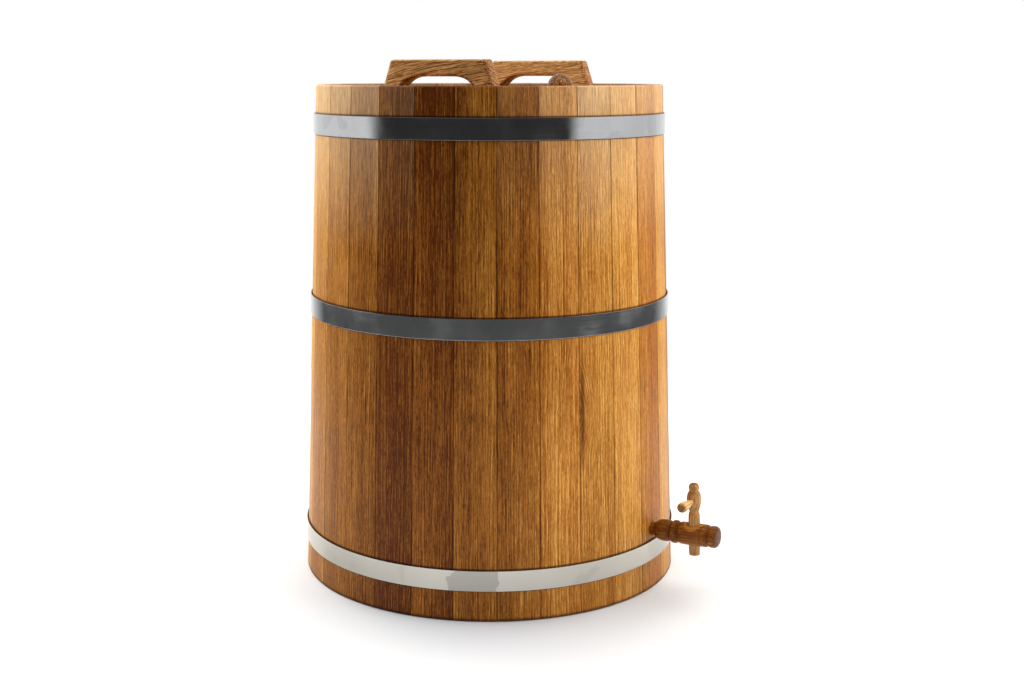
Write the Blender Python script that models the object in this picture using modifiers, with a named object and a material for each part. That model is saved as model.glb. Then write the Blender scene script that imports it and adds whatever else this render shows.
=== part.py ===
"""Conical oak barrel: staves in steel hoops, a lift-off lid with a bung, and a turned wooden tap.

Metres, +Z up. The floor is z = 0, the tap points to -Y, and the origin is the middle of the
floor that the barrel and its tap cover.
"""

import math

import bmesh
import bpy
from mathutils import Matrix, Vector
from mathutils.geometry import interpolate_bezier

# Fits
GAP = 0.0003  # between pieces that touch
LID_PLAY = 0.0012  # round the lid, so that it lifts out by hand

# Body
OVERALL_HEIGHT = 0.650  # to the top of the handles
HANDLE_RISE = 0.030  # of the handles above the rim
BASE_RADIUS = 0.2425
TOP_RADIUS = 0.2175
STAVE_COUNT = 29
STAVE_THICKNESS = 0.022
STAVE_FLATS = 3  # flat strips that make one stave's round face
RIM_ROUND = 0.0025
FOOT_ROUND = 0.001

# Bottom head, held in a groove of the staves
HEAD_HEIGHT = 0.036
HEAD_THICKNESS = 0.020
HEAD_BOARDS = 5
GROOVE_DEPTH = 0.007

# Hoops
BOTTOM_HOOP_HEIGHT = 0.037
MIDDLE_HOOP_SHARE = 0.5387  # of the body's height
TOP_HOOP_DROP = 0.035  # from the rim to the hoop's upper edge
HOOP_WIDTH = 0.025
HOOP_THICKNESS = 0.001
LAP_FLATS = 3
RIVET_RADIUS = 0.002
RIVET_HEAD_RADIUS = 0.004
RIVET_HEAD_HEIGHT = 0.002

# Lid, which lies on a ledge below the rim
LID_RECESS = 0.015
LID_THICKNESS = 0.020
LID_BOARDS = 5
LEDGE_WIDTH = 0.0085
BATTEN_LENGTH = 0.270
BATTEN_WIDTH = 0.024
BATTEN_THICKNESS = 0.012
BATTEN_ROUND = 0.002

# Handles
HANDLE_SPACING = 0.234
HANDLE_SHIFT = 0.0045  # of both handles from the lid's middle, towards the tap
HANDLE_THICKNESS = 0.020
HANDLE_TOP_LENGTH = 0.136
HANDLE_END_SLOPE = math.radians(19.6)
HANDLE_ROUND = 0.003
GRIP_HEIGHT = 0.020
ARCH_TOP_WIDTH = 0.045
ARCH_FOOT_WIDTH = 0.111
ARCH_STEPS = 7
ARCH_FOOT_LEAN = 0.06  # how far the arch has come in, and how high, at its lower bend
ARCH_FOOT_RISE = 0.54
ARCH_SHOULDER = 0.62  # how far out from its flat top the arch is still level
SCREW_SPACING = 0.136
SCREW_RADIUS = 0.002
SCREW_HEAD_RADIUS = 0.004
SCREW_HEAD_DEPTH = 0.003
SCREW_BITE = 0.016  # into the handle's foot
SCREW_POINT = 0.005

# Bung
BUNG_OFFSET = 0.102  # from the barrel's axis, towards the tap
BUNG_BALL_RADIUS = 0.0152
BUNG_TOP_RADIUS = 0.008
BUNG_END_RADIUS = 0.0072
BUNG_STEM_LENGTH = 0.024

# Tap, square to the sloping wall
TAP_HEIGHT = 0.0765
TAP_CHANNEL_RADIUS = 0.0045
TAP_TAIL_LENGTH = 0.040
TAP_TAIL_RADIUS = 0.0072
TAP_NECK_RADIUS = 0.00825
TAP_NECK_LENGTH = 0.0062
TAP_BULGE_RADIUS = 0.0135
TAP_BULGE_LENGTH = 0.0205
TAP_BEAD_RADIUS = 0.0144
TAP_BEAD_LENGTH = 0.0105
TAP_BARREL_RADIUS = 0.014
TAP_BARREL_LENGTH = 0.040
TAP_KNOB_RADIUS = 0.0136
TAP_KNOB_LENGTH = 0.0118
TAP_CREASE = 0.002  # depth of the turned grooves between those forms
TAP_SCORE = 0.0006  # depth of the scored line before the knob
TAP_SCORE_SETBACK = 0.0085  # of that line from the knob
TAP_SEAM = 0.0005  # half the floor of a groove
KEY_STATION = 0.057  # from the wall to the key's axis

# Key, its spout and its lever
KEY_TOP_RADIUS = 0.0072
KEY_END_RADIUS = 0.0067
KEY_END_DEPTH = 0.0262
KEY_STEM_HEIGHT = 0.024
KEY_WAIST_RADIUS = 0.0056
KEY_WAIST_HEIGHT = 0.0294
KEY_VASE_RADIUS = 0.0089
KEY_VASE_HEIGHT = 0.045
KEY_NECK_RADIUS = 0.0055
KEY_NECK_HEIGHT = 0.055
KEY_BALL_RADIUS = 0.0065
KEY_END_ROUND = 0.0014
SPOUT_BORE_RADIUS = 0.0036
COUNTERSINK = 0.0032
CUT_PAST = 0.002  # of a cutter beyond the surface it opens
LEVER_HEIGHT = 0.043
LEVER_REACH = 0.0395
LEVER_TENON_RADIUS = 0.00265
LEVER_TENON_START = 0.0025
LEVER_END_RADIUS = 0.0063
LEVER_END_LENGTH = 0.0065  # of the rounding from its widest place

# Facets
TURNING_STEPS = 24
KEY_TURNING_STEPS = 20
BORE_STEPS = 16
SMALL_TURNING_STEPS = 12
SMOOTH_ANGLE = math.radians(35)

# Places that follow from the sizes above
BODY_HEIGHT = OVERALL_HEIGHT - HANDLE_RISE
HOOP_HEIGHTS = {
    "bottom": BOTTOM_HOOP_HEIGHT,
    "middle": MIDDLE_HOOP_SHARE * BODY_HEIGHT,
    "top": BODY_HEIGHT - TOP_HOOP_DROP - HOOP_WIDTH,
}
STAVE_ANGLE = 2 * math.pi / STAVE_COUNT
FLAT_COUNT = STAVE_COUNT * STAVE_FLATS
FLAT_ANGLE = 2 * math.pi / FLAT_COUNT
FLAT_RATIO = math.cos(FLAT_ANGLE / 2)  # a flat's middle against its corners
WALL_SLOPE = math.atan((BASE_RADIUS - TOP_RADIUS) / BODY_HEIGHT)
LID_TOP = BODY_HEIGHT - LID_RECESS
HANDLE_HEIGHT = OVERALL_HEIGHT - LID_TOP - GAP
LEDGE_HEIGHT = LID_TOP - LID_THICKNESS - GAP
TAP_LENGTH = TAP_NECK_LENGTH + TAP_BULGE_LENGTH + TAP_BEAD_LENGTH + TAP_BARREL_LENGTH + TAP_KNOB_LENGTH


def wall_radius(height):
    """Outer radius of the body at a height."""
    return BASE_RADIUS + (TOP_RADIUS - BASE_RADIUS) * height / BODY_HEIGHT


def inner_radius(height):
    return wall_radius(height) - STAVE_THICKNESS


REBATE_RADIUS = inner_radius(LEDGE_HEIGHT) + LEDGE_WIDTH
LID_RADIUS = REBATE_RADIUS * FLAT_RATIO - LID_PLAY
GROOVE_RADIUS = inner_radius(HEAD_HEIGHT) + GROOVE_DEPTH
HEAD_RADIUS = GROOVE_RADIUS * FLAT_RATIO - GAP
TAP_REACH = wall_radius(TAP_HEIGHT) + TAP_LENGTH * math.cos(WALL_SLOPE)
AXIS_SETBACK = (TAP_REACH - BASE_RADIUS) / 2

OAK_LIGHT = (0.58, 0.33, 0.13)
OAK_DARK = (0.27, 0.12, 0.04)
HANDLE_OAK = (0.46, 0.25, 0.10)
TAP_WOOD = (0.17, 0.065, 0.025)
KEY_WOOD = (0.36, 0.19, 0.075)
LEVER_WOOD = (0.66, 0.42, 0.18)
STEEL = (0.56, 0.57, 0.58)


def clear_scene():
    for thing in list(bpy.data.objects):
        bpy.data.objects.remove(thing, do_unlink=True)


def new_collection(name):
    collection = bpy.data.collections.new(name)
    bpy.context.scene.collection.children.link(collection)
    return collection


clear_scene()
PARTS = new_collection("oak_barrel")
CUTTERS = new_collection("cutters")


def new_empty(name, parent=None, location=(0, 0, 0), rotation=(0, 0, 0)):
    empty = bpy.data.objects.new(name, None)
    PARTS.objects.link(empty)
    empty.empty_display_size = 0.03
    empty.parent = parent
    empty.location = location
    empty.rotation_euler = rotation
    return empty


def new_material(name, colour, roughness, metallic=0.0):
    material = bpy.data.materials.new(name)
    material.use_nodes = True
    shader = material.node_tree.nodes["Principled BSDF"]
    shader.inputs["Base Color"].default_value = (*colour, 1)
    shader.inputs["Roughness"].default_value = roughness
    shader.inputs["Metallic"].default_value = metallic
    material.diffuse_color = (*colour, 1)
    return material


def oak(name, tone, roughness=0.45):
    """Oak from dark (tone 0) to light (tone 1)."""
    colour = [dark + (light - dark) * tone for dark, light in zip(OAK_DARK, OAK_LIGHT)]
    return new_material(name, colour, roughness)


def place(mesh, name, parent, material, location=(0, 0, 0), rotation=(0, 0, 0)):
    """An object of the barrel that shows a mesh."""
    part = bpy.data.objects.new(name, mesh)
    PARTS.objects.link(part)
    part.parent = parent
    part.location = location
    part.rotation_euler = rotation
    part.data.materials.append(material)
    return part


def place_cutter(mesh, name, parent, location=(0, 0, 0), rotation=(0, 0, 0)):
    cutter = bpy.data.objects.new(name, mesh)
    CUTTERS.objects.link(cutter)
    cutter.parent = parent
    cutter.location = location
    cutter.rotation_euler = rotation
    cutter.display_type = "WIRE"
    cutter.hide_render = True
    return cutter


def cut(part, cutter):
    boolean = part.modifiers.new(cutter.name, "BOOLEAN")
    boolean.operation = "DIFFERENCE"
    boolean.object = cutter


def smooth(mesh):
    mesh.shade_smooth()
    mesh.set_sharp_from_angle(angle=SMOOTH_ANGLE)


def arc(centre_x, centre_y, radius, start, end, steps):
    """Points on an arc, with its angles in degrees from +X."""
    angles = [math.radians(start + (end - start) * step / steps) for step in range(steps + 1)]
    return [(centre_x + radius * math.cos(a), centre_y + radius * math.sin(a)) for a in angles]


def wedge_mesh(name, profile, angle, steps):
    """A profile of (radius, height) swept about Z through an angle whose middle is -Y."""
    mesh = bpy.data.meshes.new(name)
    bm = bmesh.new()
    start = Matrix.Rotation(-angle / 2, 4, "Z")
    face = bm.faces.new([bm.verts.new(start @ Vector((0, -radius, height))) for radius, height in profile])
    outline = [face, *face.edges, *face.verts]
    bmesh.ops.spin(bm, geom=outline, cent=(0, 0, 0), axis=(0, 0, 1), angle=angle, steps=steps)
    bmesh.ops.recalc_face_normals(bm, faces=bm.faces)
    bm.to_mesh(mesh)
    bm.free()
    smooth(mesh)
    return mesh


def outline_mesh(name, points, thickness, edge_round=0.0):
    """A flat outline extruded about its plane, with its edges rounded."""
    curve = bpy.data.curves.new(name, "CURVE")
    curve.dimensions = "2D"
    curve.fill_mode = "BOTH"
    curve.extrude = thickness / 2 - edge_round
    curve.bevel_depth = edge_round
    curve.bevel_resolution = 1
    curve.offset = -edge_round
    spline = curve.splines.new("POLY")
    spline.points.add(len(points) - 1)
    for point, (x, y) in zip(spline.points, points):
        point.co = (x, y, 0, 1)
    spline.use_cyclic_u = True
    guide = bpy.data.objects.new(name, curve)
    PARTS.objects.link(guide)
    bpy.context.view_layer.update()
    graph = bpy.context.evaluated_depsgraph_get()
    mesh = bpy.data.meshes.new_from_object(guide.evaluated_get(graph))
    mesh.name = name
    bpy.data.objects.remove(guide)
    bpy.data.curves.remove(curve)
    bm = bmesh.new()
    bm.from_mesh(mesh)
    bmesh.ops.remove_doubles(bm, verts=bm.verts, dist=0.00001)
    bmesh.ops.recalc_face_normals(bm, faces=bm.faces)
    bm.to_mesh(mesh)
    bm.free()
    mesh.materials.clear()
    smooth(mesh)
    return mesh


def profile_mesh(name, profile):
    """The line of points that a Screw modifier turns, from (radius, height) pairs."""
    mesh = bpy.data.meshes.new(name)
    points = [(radius, 0, height) for radius, height in profile]
    mesh.from_pydata(points, [(i, i + 1) for i in range(len(points) - 1)], [])
    return mesh


def turn(part, steps=TURNING_STEPS):
    screw = part.modifiers.new("turning", "SCREW")
    screw.steps = steps
    screw.render_steps = steps
    screw.use_merge_vertices = True
    screw.merge_threshold = 0.00001
    return part


def round_cutter(name, profile, parent, location=(0, 0, 0), rotation=(0, 0, 0), steps=TURNING_STEPS):
    return turn(place_cutter(profile_mesh(name, profile), name, parent, location, rotation), steps)


def board_outline(radius, low, high):
    """The slice of a round panel between two straight joints."""
    start = math.asin(max(low / radius, -1))
    end = math.asin(min(high / radius, 1))
    steps = max(2, round((end - start) / FLAT_ANGLE))
    angles = [start + (end - start) * step / steps for step in range(steps + 1)]
    right = [(radius * math.cos(a), radius * math.sin(a)) for a in angles]
    left = [(-x, y) for x, y in reversed(right) if x > GAP]
    return right + left


def board_strips(radius, count):
    """Where each board of a round panel starts and ends, with the joints between them open by the gap."""
    width = 2 * radius / count
    for index in range(count):
        low = -radius + index * width
        high = low + width
        yield index, low + (GAP / 2 if index else 0), high - (GAP / 2 if index < count - 1 else 0)


def stave_profile():
    """A stave's section: outer wall up, over the rim, down the rebate and the inner wall."""
    foot = arc(wall_radius(0) - FOOT_ROUND, FOOT_ROUND, FOOT_ROUND, -90, 0, 3)
    rim = arc(TOP_RADIUS - RIM_ROUND, BODY_HEIGHT - RIM_ROUND, RIM_ROUND, 0, 90, 3)
    mouth = arc(REBATE_RADIUS + RIM_ROUND, BODY_HEIGHT - RIM_ROUND, RIM_ROUND, 90, 180, 3)
    groove_top = HEAD_HEIGHT + HEAD_THICKNESS + GAP
    groove_foot = HEAD_HEIGHT - GAP
    inside = [
        (REBATE_RADIUS, LEDGE_HEIGHT),
        (inner_radius(LEDGE_HEIGHT), LEDGE_HEIGHT),
        (inner_radius(groove_top), groove_top),
        (GROOVE_RADIUS, groove_top),
        (GROOVE_RADIUS, groove_foot),
        (inner_radius(groove_foot), groove_foot),
    ]
    inner_foot = arc(inner_radius(0) + FOOT_ROUND, FOOT_ROUND, FOOT_ROUND, 180, 270, 3)
    return foot + rim + mouth + inside + inner_foot


def build_staves(axis, tap_hole):
    joint = GAP / inner_radius(BODY_HEIGHT)
    mesh = wedge_mesh("stave", stave_profile(), STAVE_ANGLE - joint, STAVE_FLATS)
    for index in range(STAVE_COUNT):
        name = f"stave_{index + 1:02d}" if index else "tap_stave"
        tone = 0.5 + 0.5 * math.sin(index * 2.4)
        stave = place(mesh.copy(), name, axis, oak(name, tone), rotation=(0, 0, index * STAVE_ANGLE))
        if not index:
            cut(stave, tap_hole)


def build_bottom_head(axis):
    for index, low, high in board_strips(HEAD_RADIUS, HEAD_BOARDS):
        name = f"head_board_{index + 1}"
        mesh = outline_mesh(name, board_outline(HEAD_RADIUS, low, high), HEAD_THICKNESS)
        height = HEAD_HEIGHT + HEAD_THICKNESS / 2
        place(mesh, name, axis, oak(name, 0.35 + 0.1 * index, 0.7), location=(0, 0, height))


def hoop_outline(radius):
    """A strip bent into a ring whose last flats step out and lie over its first ones."""
    first = (FLAT_COUNT - LAP_FLATS) // 2 - 0.5
    step_out = HOOP_THICKNESS + GAP
    turns = [(first + index) * FLAT_ANGLE for index in range(FLAT_COUNT + LAP_FLATS + 1)]
    lifts = [step_out if index >= FLAT_COUNT else 0 for index in range(len(turns))]
    inner = [(angle, radius + lift) for angle, lift in zip(turns, lifts)]
    outer = [(angle, distance + HOOP_THICKNESS) for angle, distance in reversed(inner)]
    return [(distance * math.sin(angle), -distance * math.cos(angle)) for angle, distance in inner + outer]


def rivet_profile():
    shank = 2 * HOOP_THICKNESS + 2 * GAP
    head = [(RIVET_HEAD_RADIUS * math.sin(a), RIVET_HEAD_HEIGHT * math.cos(a)) for a in (0, 0.55, 1.1, math.pi / 2)]
    return head + [(RIVET_RADIUS, 0), (RIVET_RADIUS, -shank), (0, -shank)]


def build_hoop(axis, where, height):
    """One steel hoop, cylindrical so that its foot grips the wall, with its lap and two rivets at the back."""
    radius = wall_radius(height) + GAP
    name = f"hoop_{where}"
    steel = new_material(name, STEEL, 0.3, 1.0)
    mesh = outline_mesh(name, hoop_outline(radius), HOOP_WIDTH)
    middle = height + HOOP_WIDTH / 2
    hoop = place(mesh, name, axis, steel, location=(0, 0, middle))
    outside = radius * FLAT_RATIO + 2 * HOOP_THICKNESS + 2 * GAP
    first_flat = (FLAT_COUNT - LAP_FLATS) // 2
    for index in range(2):
        turn_angle = (first_flat + index * (LAP_FLATS - 1)) * FLAT_ANGLE
        spot = (outside * math.sin(turn_angle), -outside * math.cos(turn_angle), middle)
        facing = (math.pi / 2, 0, turn_angle)
        drill = [(RIVET_RADIUS + GAP, HOOP_THICKNESS), (RIVET_RADIUS + GAP, -4 * HOOP_THICKNESS)]
        hole_profile = [(0, HOOP_THICKNESS), *drill, (0, -4 * HOOP_THICKNESS)]
        hole = round_cutter(f"{where}_rivet_hole_{index + 1}", hole_profile, axis, spot, facing, SMALL_TURNING_STEPS)
        cut(hoop, hole)
        rivet_name = f"{where}_rivet_{index + 1}"
        rivet_steel = new_material(rivet_name, STEEL, 0.35, 1.0)
        rivet = place(profile_mesh(rivet_name, rivet_profile()), rivet_name, axis, rivet_steel, spot, facing)
        turn(rivet, SMALL_TURNING_STEPS)


def handle_outline():
    """A handle seen from its side: sloping ends, and an arch for the fingers cut from below."""
    top = HANDLE_TOP_LENGTH / 2
    foot = top + HANDLE_HEIGHT * math.tan(HANDLE_END_SLOPE)
    arch_foot = ARCH_FOOT_WIDTH / 2
    arch_top = ARCH_TOP_WIDTH / 2
    crown = HANDLE_HEIGHT - GRIP_HEIGHT
    spread = arch_foot - arch_top
    side = interpolate_bezier(
        Vector((arch_foot, 0, 0)),
        Vector((arch_foot - ARCH_FOOT_LEAN * spread, ARCH_FOOT_RISE * crown, 0)),
        Vector((arch_top + ARCH_SHOULDER * spread, crown, 0)),
        Vector((arch_top, crown, 0)),
        ARCH_STEPS,
    )
    arch = [(point.x, point.y) for point in side]
    mirrored = [(-x, y) for x, y in arch]
    ends = [(foot, 0), (top, HANDLE_HEIGHT), (-top, HANDLE_HEIGHT), (-foot, 0)]
    return ends + mirrored + arch[::-1]


def screw_length():
    return BATTEN_THICKNESS + GAP + LID_THICKNESS + GAP + SCREW_BITE


def screw_profile(play):
    """A wood screw standing on its head, or with play its hole."""
    length = screw_length() + play
    shoulder = length - SCREW_POINT
    return [
        (0, length),
        (SCREW_RADIUS + play, shoulder),
        (SCREW_RADIUS + play, SCREW_HEAD_DEPTH + play),
        (SCREW_HEAD_RADIUS + play, play),
        (SCREW_HEAD_RADIUS + play, -play),
        (0, -play),
    ]


def build_lid_boards(lid):
    boards = []
    for index, low, high in board_strips(LID_RADIUS, LID_BOARDS):
        name = f"lid_board_{index + 1}"
        mesh = outline_mesh(name, board_outline(LID_RADIUS, low, high), LID_THICKNESS)
        board = place(mesh, name, lid, oak(name, 0.4 + 0.1 * (index % 2)), location=(0, 0, -LID_THICKNESS / 2))
        boards.append((board, low, high))
    return boards


def build_batten(lid, side, across, foot):
    """A bar under the lid, across its boards."""
    bpy.ops.mesh.primitive_cube_add(size=1)
    batten = bpy.context.object
    batten.name = f"lid_batten_{side}"
    batten.data.transform(Matrix.Diagonal((BATTEN_WIDTH, BATTEN_LENGTH, BATTEN_THICKNESS, 1)))
    for collection in list(batten.users_collection):
        collection.objects.unlink(batten)
    PARTS.objects.link(batten)
    batten.data.materials.append(oak(batten.name, 0.5, 0.7))
    batten.parent = lid
    batten.location = (across, 0, foot + BATTEN_THICKNESS / 2)
    bevel = batten.modifiers.new("worn edges", "BEVEL")
    bevel.width = BATTEN_ROUND
    bevel.segments = 2
    return batten


def build_handle(lid, side, across):
    name = f"handle_{side}"
    mesh = outline_mesh(name, handle_outline(), HANDLE_THICKNESS, HANDLE_ROUND)
    standing = (math.pi / 2, 0, math.pi / 2)
    return place(mesh, name, lid, new_material(name, HANDLE_OAK, 0.35), (across, -HANDLE_SHIFT, GAP), standing)


def fasten(lid, number, spot, pieces):
    """A screw driven up from a batten's underside, and its hole through the pieces it holds."""
    hole = round_cutter(f"screw_hole_{number}", screw_profile(GAP), lid, spot, steps=SMALL_TURNING_STEPS)
    for piece in pieces:
        cut(piece, hole)
    name = f"lid_screw_{number}"
    steel = new_material(name, STEEL, 0.4, 1.0)
    turn(place(profile_mesh(name, screw_profile(0)), name, lid, steel, spot), SMALL_TURNING_STEPS)


def build_lid(lid):
    """The lid's boards, its battens below, its handles above, and the screws that hold them together."""
    boards = build_lid_boards(lid)
    batten_foot = -LID_THICKNESS - GAP - BATTEN_THICKNESS
    for side, sign in (("left", -1), ("right", 1)):
        across = sign * HANDLE_SPACING / 2
        batten = build_batten(lid, side, across, batten_foot)
        handle = build_handle(lid, side, across)
        for end in (-1, 1):
            number = 2 + sign + (end + 1) // 2
            along = end * SCREW_SPACING / 2 - HANDLE_SHIFT
            crossed = [board for board, low, high in boards if low - SCREW_RADIUS < along < high + SCREW_RADIUS]
            fasten(lid, number, (across, along, batten_foot), [batten, handle, *crossed])
    return boards


def bung_cone(height):
    """Radius of the bung's tapered stem at a height below the lid's top."""
    return BUNG_TOP_RADIUS + (BUNG_TOP_RADIUS - BUNG_END_RADIUS) * height / BUNG_STEM_LENGTH


def build_bung(lid, boards):
    """The turned plug of the lid's filling hole, with a ball for the fingers."""
    spot = (0, -BUNG_OFFSET, 0)
    start = math.asin(BUNG_TOP_RADIUS / BUNG_BALL_RADIUS)
    centre = BUNG_BALL_RADIUS * math.cos(start) + GAP
    steps = 9
    angles = [(math.pi - start) * step / steps for step in range(steps + 1)]
    ball = [(BUNG_BALL_RADIUS * math.sin(a), centre + BUNG_BALL_RADIUS * math.cos(a)) for a in angles]
    chamfer = BUNG_END_RADIUS / 8
    stem = [
        (BUNG_END_RADIUS, -BUNG_STEM_LENGTH + chamfer),
        (BUNG_END_RADIUS - chamfer, -BUNG_STEM_LENGTH),
        (0, -BUNG_STEM_LENGTH),
    ]
    bung = place(profile_mesh("bung", ball + stem), "bung", lid, new_material("bung", KEY_WOOD, 0.35), spot)
    turn(bung)
    above = GAP
    below = -LID_THICKNESS - GAP
    hole_profile = [(0, above), (bung_cone(above) + GAP, above), (bung_cone(below) + GAP, below), (0, below)]
    hole = round_cutter("bung_hole", hole_profile, lid, spot)
    for board, low, high in boards:
        if low < -BUNG_OFFSET < high:
            cut(board, hole)


def swell(start, length, radius, crease, shoulder):
    """Points along a turned swelling of the tap, from its near crease to its far one."""
    end = start + length
    return [
        (radius - crease, start),
        (radius - crease * 0.35, start + shoulder * 0.45),
        (radius, start + shoulder),
        (radius, end - shoulder),
        (radius - crease * 0.35, end - shoulder * 0.45),
        (radius - crease, end),
    ]


def tap_body_profile():
    """The tap's outline from its tail inside the barrel to the knob, as (radius, distance from the wall)."""
    bead_start = TAP_NECK_LENGTH + TAP_BULGE_LENGTH
    barrel_start = bead_start + TAP_BEAD_LENGTH
    knob_start = barrel_start + TAP_BARREL_LENGTH
    tail_end = TAP_TAIL_RADIUS * 0.15
    tail = [
        (0, -TAP_TAIL_LENGTH),
        (TAP_TAIL_RADIUS - tail_end, -TAP_TAIL_LENGTH),
        (TAP_TAIL_RADIUS, -TAP_TAIL_LENGTH + tail_end),
        (TAP_NECK_RADIUS, 0),
        (TAP_NECK_RADIUS, TAP_NECK_LENGTH - TAP_SEAM),
    ]
    flare = TAP_BULGE_RADIUS - TAP_NECK_RADIUS
    bulge = [
        (TAP_NECK_RADIUS + flare * 0.30, TAP_NECK_LENGTH + TAP_BULGE_LENGTH * 0.06),
        (TAP_NECK_RADIUS + flare * 0.70, TAP_NECK_LENGTH + TAP_BULGE_LENGTH * 0.17),
        (TAP_NECK_RADIUS + flare * 0.92, TAP_NECK_LENGTH + TAP_BULGE_LENGTH * 0.34),
        (TAP_BULGE_RADIUS, TAP_NECK_LENGTH + TAP_BULGE_LENGTH * 0.54),
        (TAP_BULGE_RADIUS, bead_start - TAP_BULGE_LENGTH * 0.20),
        (TAP_BULGE_RADIUS - TAP_CREASE * 0.4, bead_start - TAP_BULGE_LENGTH * 0.07),
        (TAP_BULGE_RADIUS - TAP_CREASE, bead_start - TAP_SEAM),
    ]
    bead_length = TAP_BEAD_LENGTH - 2 * TAP_SEAM
    shank_length = TAP_BARREL_LENGTH - 2 * TAP_SEAM
    bead = swell(bead_start + TAP_SEAM, bead_length, TAP_BEAD_RADIUS, TAP_CREASE * 1.2, bead_length * 0.37)
    shank = swell(barrel_start + TAP_SEAM, shank_length, TAP_BARREL_RADIUS, TAP_CREASE, shank_length * 0.115)
    score_at = knob_start - TAP_SCORE_SETBACK
    score = [
        (TAP_BARREL_RADIUS, score_at - TAP_SCORE),
        (TAP_BARREL_RADIUS - TAP_SCORE, score_at),
        (TAP_BARREL_RADIUS, score_at + TAP_SCORE),
    ]
    knob = [
        (TAP_KNOB_RADIUS - TAP_CREASE, knob_start + TAP_SEAM),
        (TAP_KNOB_RADIUS - TAP_CREASE * 0.3, knob_start + TAP_KNOB_LENGTH * 0.12),
        (TAP_KNOB_RADIUS, knob_start + TAP_KNOB_LENGTH * 0.25),
        (TAP_KNOB_RADIUS, TAP_LENGTH - TAP_KNOB_LENGTH * 0.38),
        (TAP_KNOB_RADIUS * 0.94, TAP_LENGTH - TAP_KNOB_LENGTH * 0.20),
        (TAP_KNOB_RADIUS * 0.80, TAP_LENGTH - TAP_KNOB_LENGTH * 0.085),
        (TAP_KNOB_RADIUS * 0.45, TAP_LENGTH - TAP_KNOB_LENGTH * 0.017),
        (0, TAP_LENGTH),
    ]
    return tail + bulge + bead + shank[:4] + score + shank[4:] + knob


def build_tap_hole(seat):
    """The cutter of the tapered hole that the tap's tail is driven into."""
    taper = (TAP_NECK_RADIUS - TAP_TAIL_RADIUS) / TAP_TAIL_LENGTH
    inner = -STAVE_THICKNESS - 2 * CUT_PAST
    profile = [
        (0, 2 * CUT_PAST),
        (TAP_NECK_RADIUS + GAP, 2 * CUT_PAST),
        (TAP_NECK_RADIUS + GAP, 0),
        (TAP_NECK_RADIUS + taper * inner + GAP, inner),
        (0, inner),
    ]
    return round_cutter("tap_hole", profile, seat)


def key_radius(height):
    """Radius of the key's tapered plug at a height above the tap's axis."""
    span = KEY_END_DEPTH + TAP_BARREL_RADIUS
    return KEY_END_RADIUS + (KEY_TOP_RADIUS - KEY_END_RADIUS) * (height + KEY_END_DEPTH) / span


def build_tap(seat, pivot):
    """The tap's body, bored from its tail to the key, with the key's hole across it."""
    wood = new_material("tap_body", TAP_WOOD, 0.3)
    body = place(profile_mesh("tap_body", list(reversed(tap_body_profile()))), "tap_body", seat, wood)
    turn(body)
    channel_start = -TAP_TAIL_LENGTH - CUT_PAST
    channel_profile = [
        (0, KEY_STATION),
        (TAP_CHANNEL_RADIUS, KEY_STATION),
        (TAP_CHANNEL_RADIUS, channel_start),
        (0, channel_start),
    ]
    cut(body, round_cutter("tap_channel", channel_profile, seat, steps=BORE_STEPS))
    top = TAP_BARREL_RADIUS + CUT_PAST
    sink = TAP_BARREL_RADIUS - COUNTERSINK
    hole_profile = [
        (0, top),
        (key_radius(sink) + GAP + top - sink, top),
        (key_radius(sink) + GAP, sink),
        (key_radius(-top) + GAP, -top),
        (0, -top),
    ]
    cut(body, round_cutter("key_hole", hole_profile, pivot))


def key_profile():
    """The key from its ball down its vase, waist and plug to the spout's end."""
    ball_start = math.asin(KEY_NECK_RADIUS / KEY_BALL_RADIUS)
    ball_centre = KEY_NECK_HEIGHT + KEY_BALL_RADIUS * math.cos(ball_start)
    steps = 7
    angles = [(math.pi - ball_start) * step / steps for step in range(steps + 1)]
    ball = [(KEY_BALL_RADIUS * math.sin(a), ball_centre + KEY_BALL_RADIUS * math.cos(a)) for a in angles]
    shoulder = []
    for share in (0.97, 0.85, 0.62, 0.32, 0):
        fullness = (1 - share**2) ** 0.55
        radius = KEY_NECK_RADIUS + (KEY_VASE_RADIUS - KEY_NECK_RADIUS) * fullness
        shoulder.append((radius, KEY_VASE_HEIGHT + (KEY_NECK_HEIGHT - KEY_VASE_HEIGHT) * share))
    foot = []
    for share in (0.25, 0.5, 0.75, 1):
        radius = KEY_WAIST_RADIUS + (KEY_VASE_RADIUS - KEY_WAIST_RADIUS) * (1 - share**2)
        foot.append((radius, KEY_VASE_HEIGHT + (KEY_WAIST_HEIGHT - KEY_VASE_HEIGHT) * share))
    stem = []
    for share in (0.3, 0.6, 1):
        radius = KEY_WAIST_RADIUS + (KEY_TOP_RADIUS - KEY_WAIST_RADIUS) * (1 - (1 - share) ** 2)
        stem.append((radius, KEY_WAIST_HEIGHT + (KEY_STEM_HEIGHT - KEY_WAIST_HEIGHT) * share))
    end = [
        (key_radius(TAP_BARREL_RADIUS), TAP_BARREL_RADIUS),
        (KEY_END_RADIUS, -KEY_END_DEPTH + KEY_END_ROUND),
        (KEY_END_RADIUS - KEY_END_ROUND * 0.4, -KEY_END_DEPTH + KEY_END_ROUND * 0.3),
        (KEY_END_RADIUS - KEY_END_ROUND, -KEY_END_DEPTH),
        (0, -KEY_END_DEPTH),
    ]
    return ball + shoulder + foot + stem + end


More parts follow.
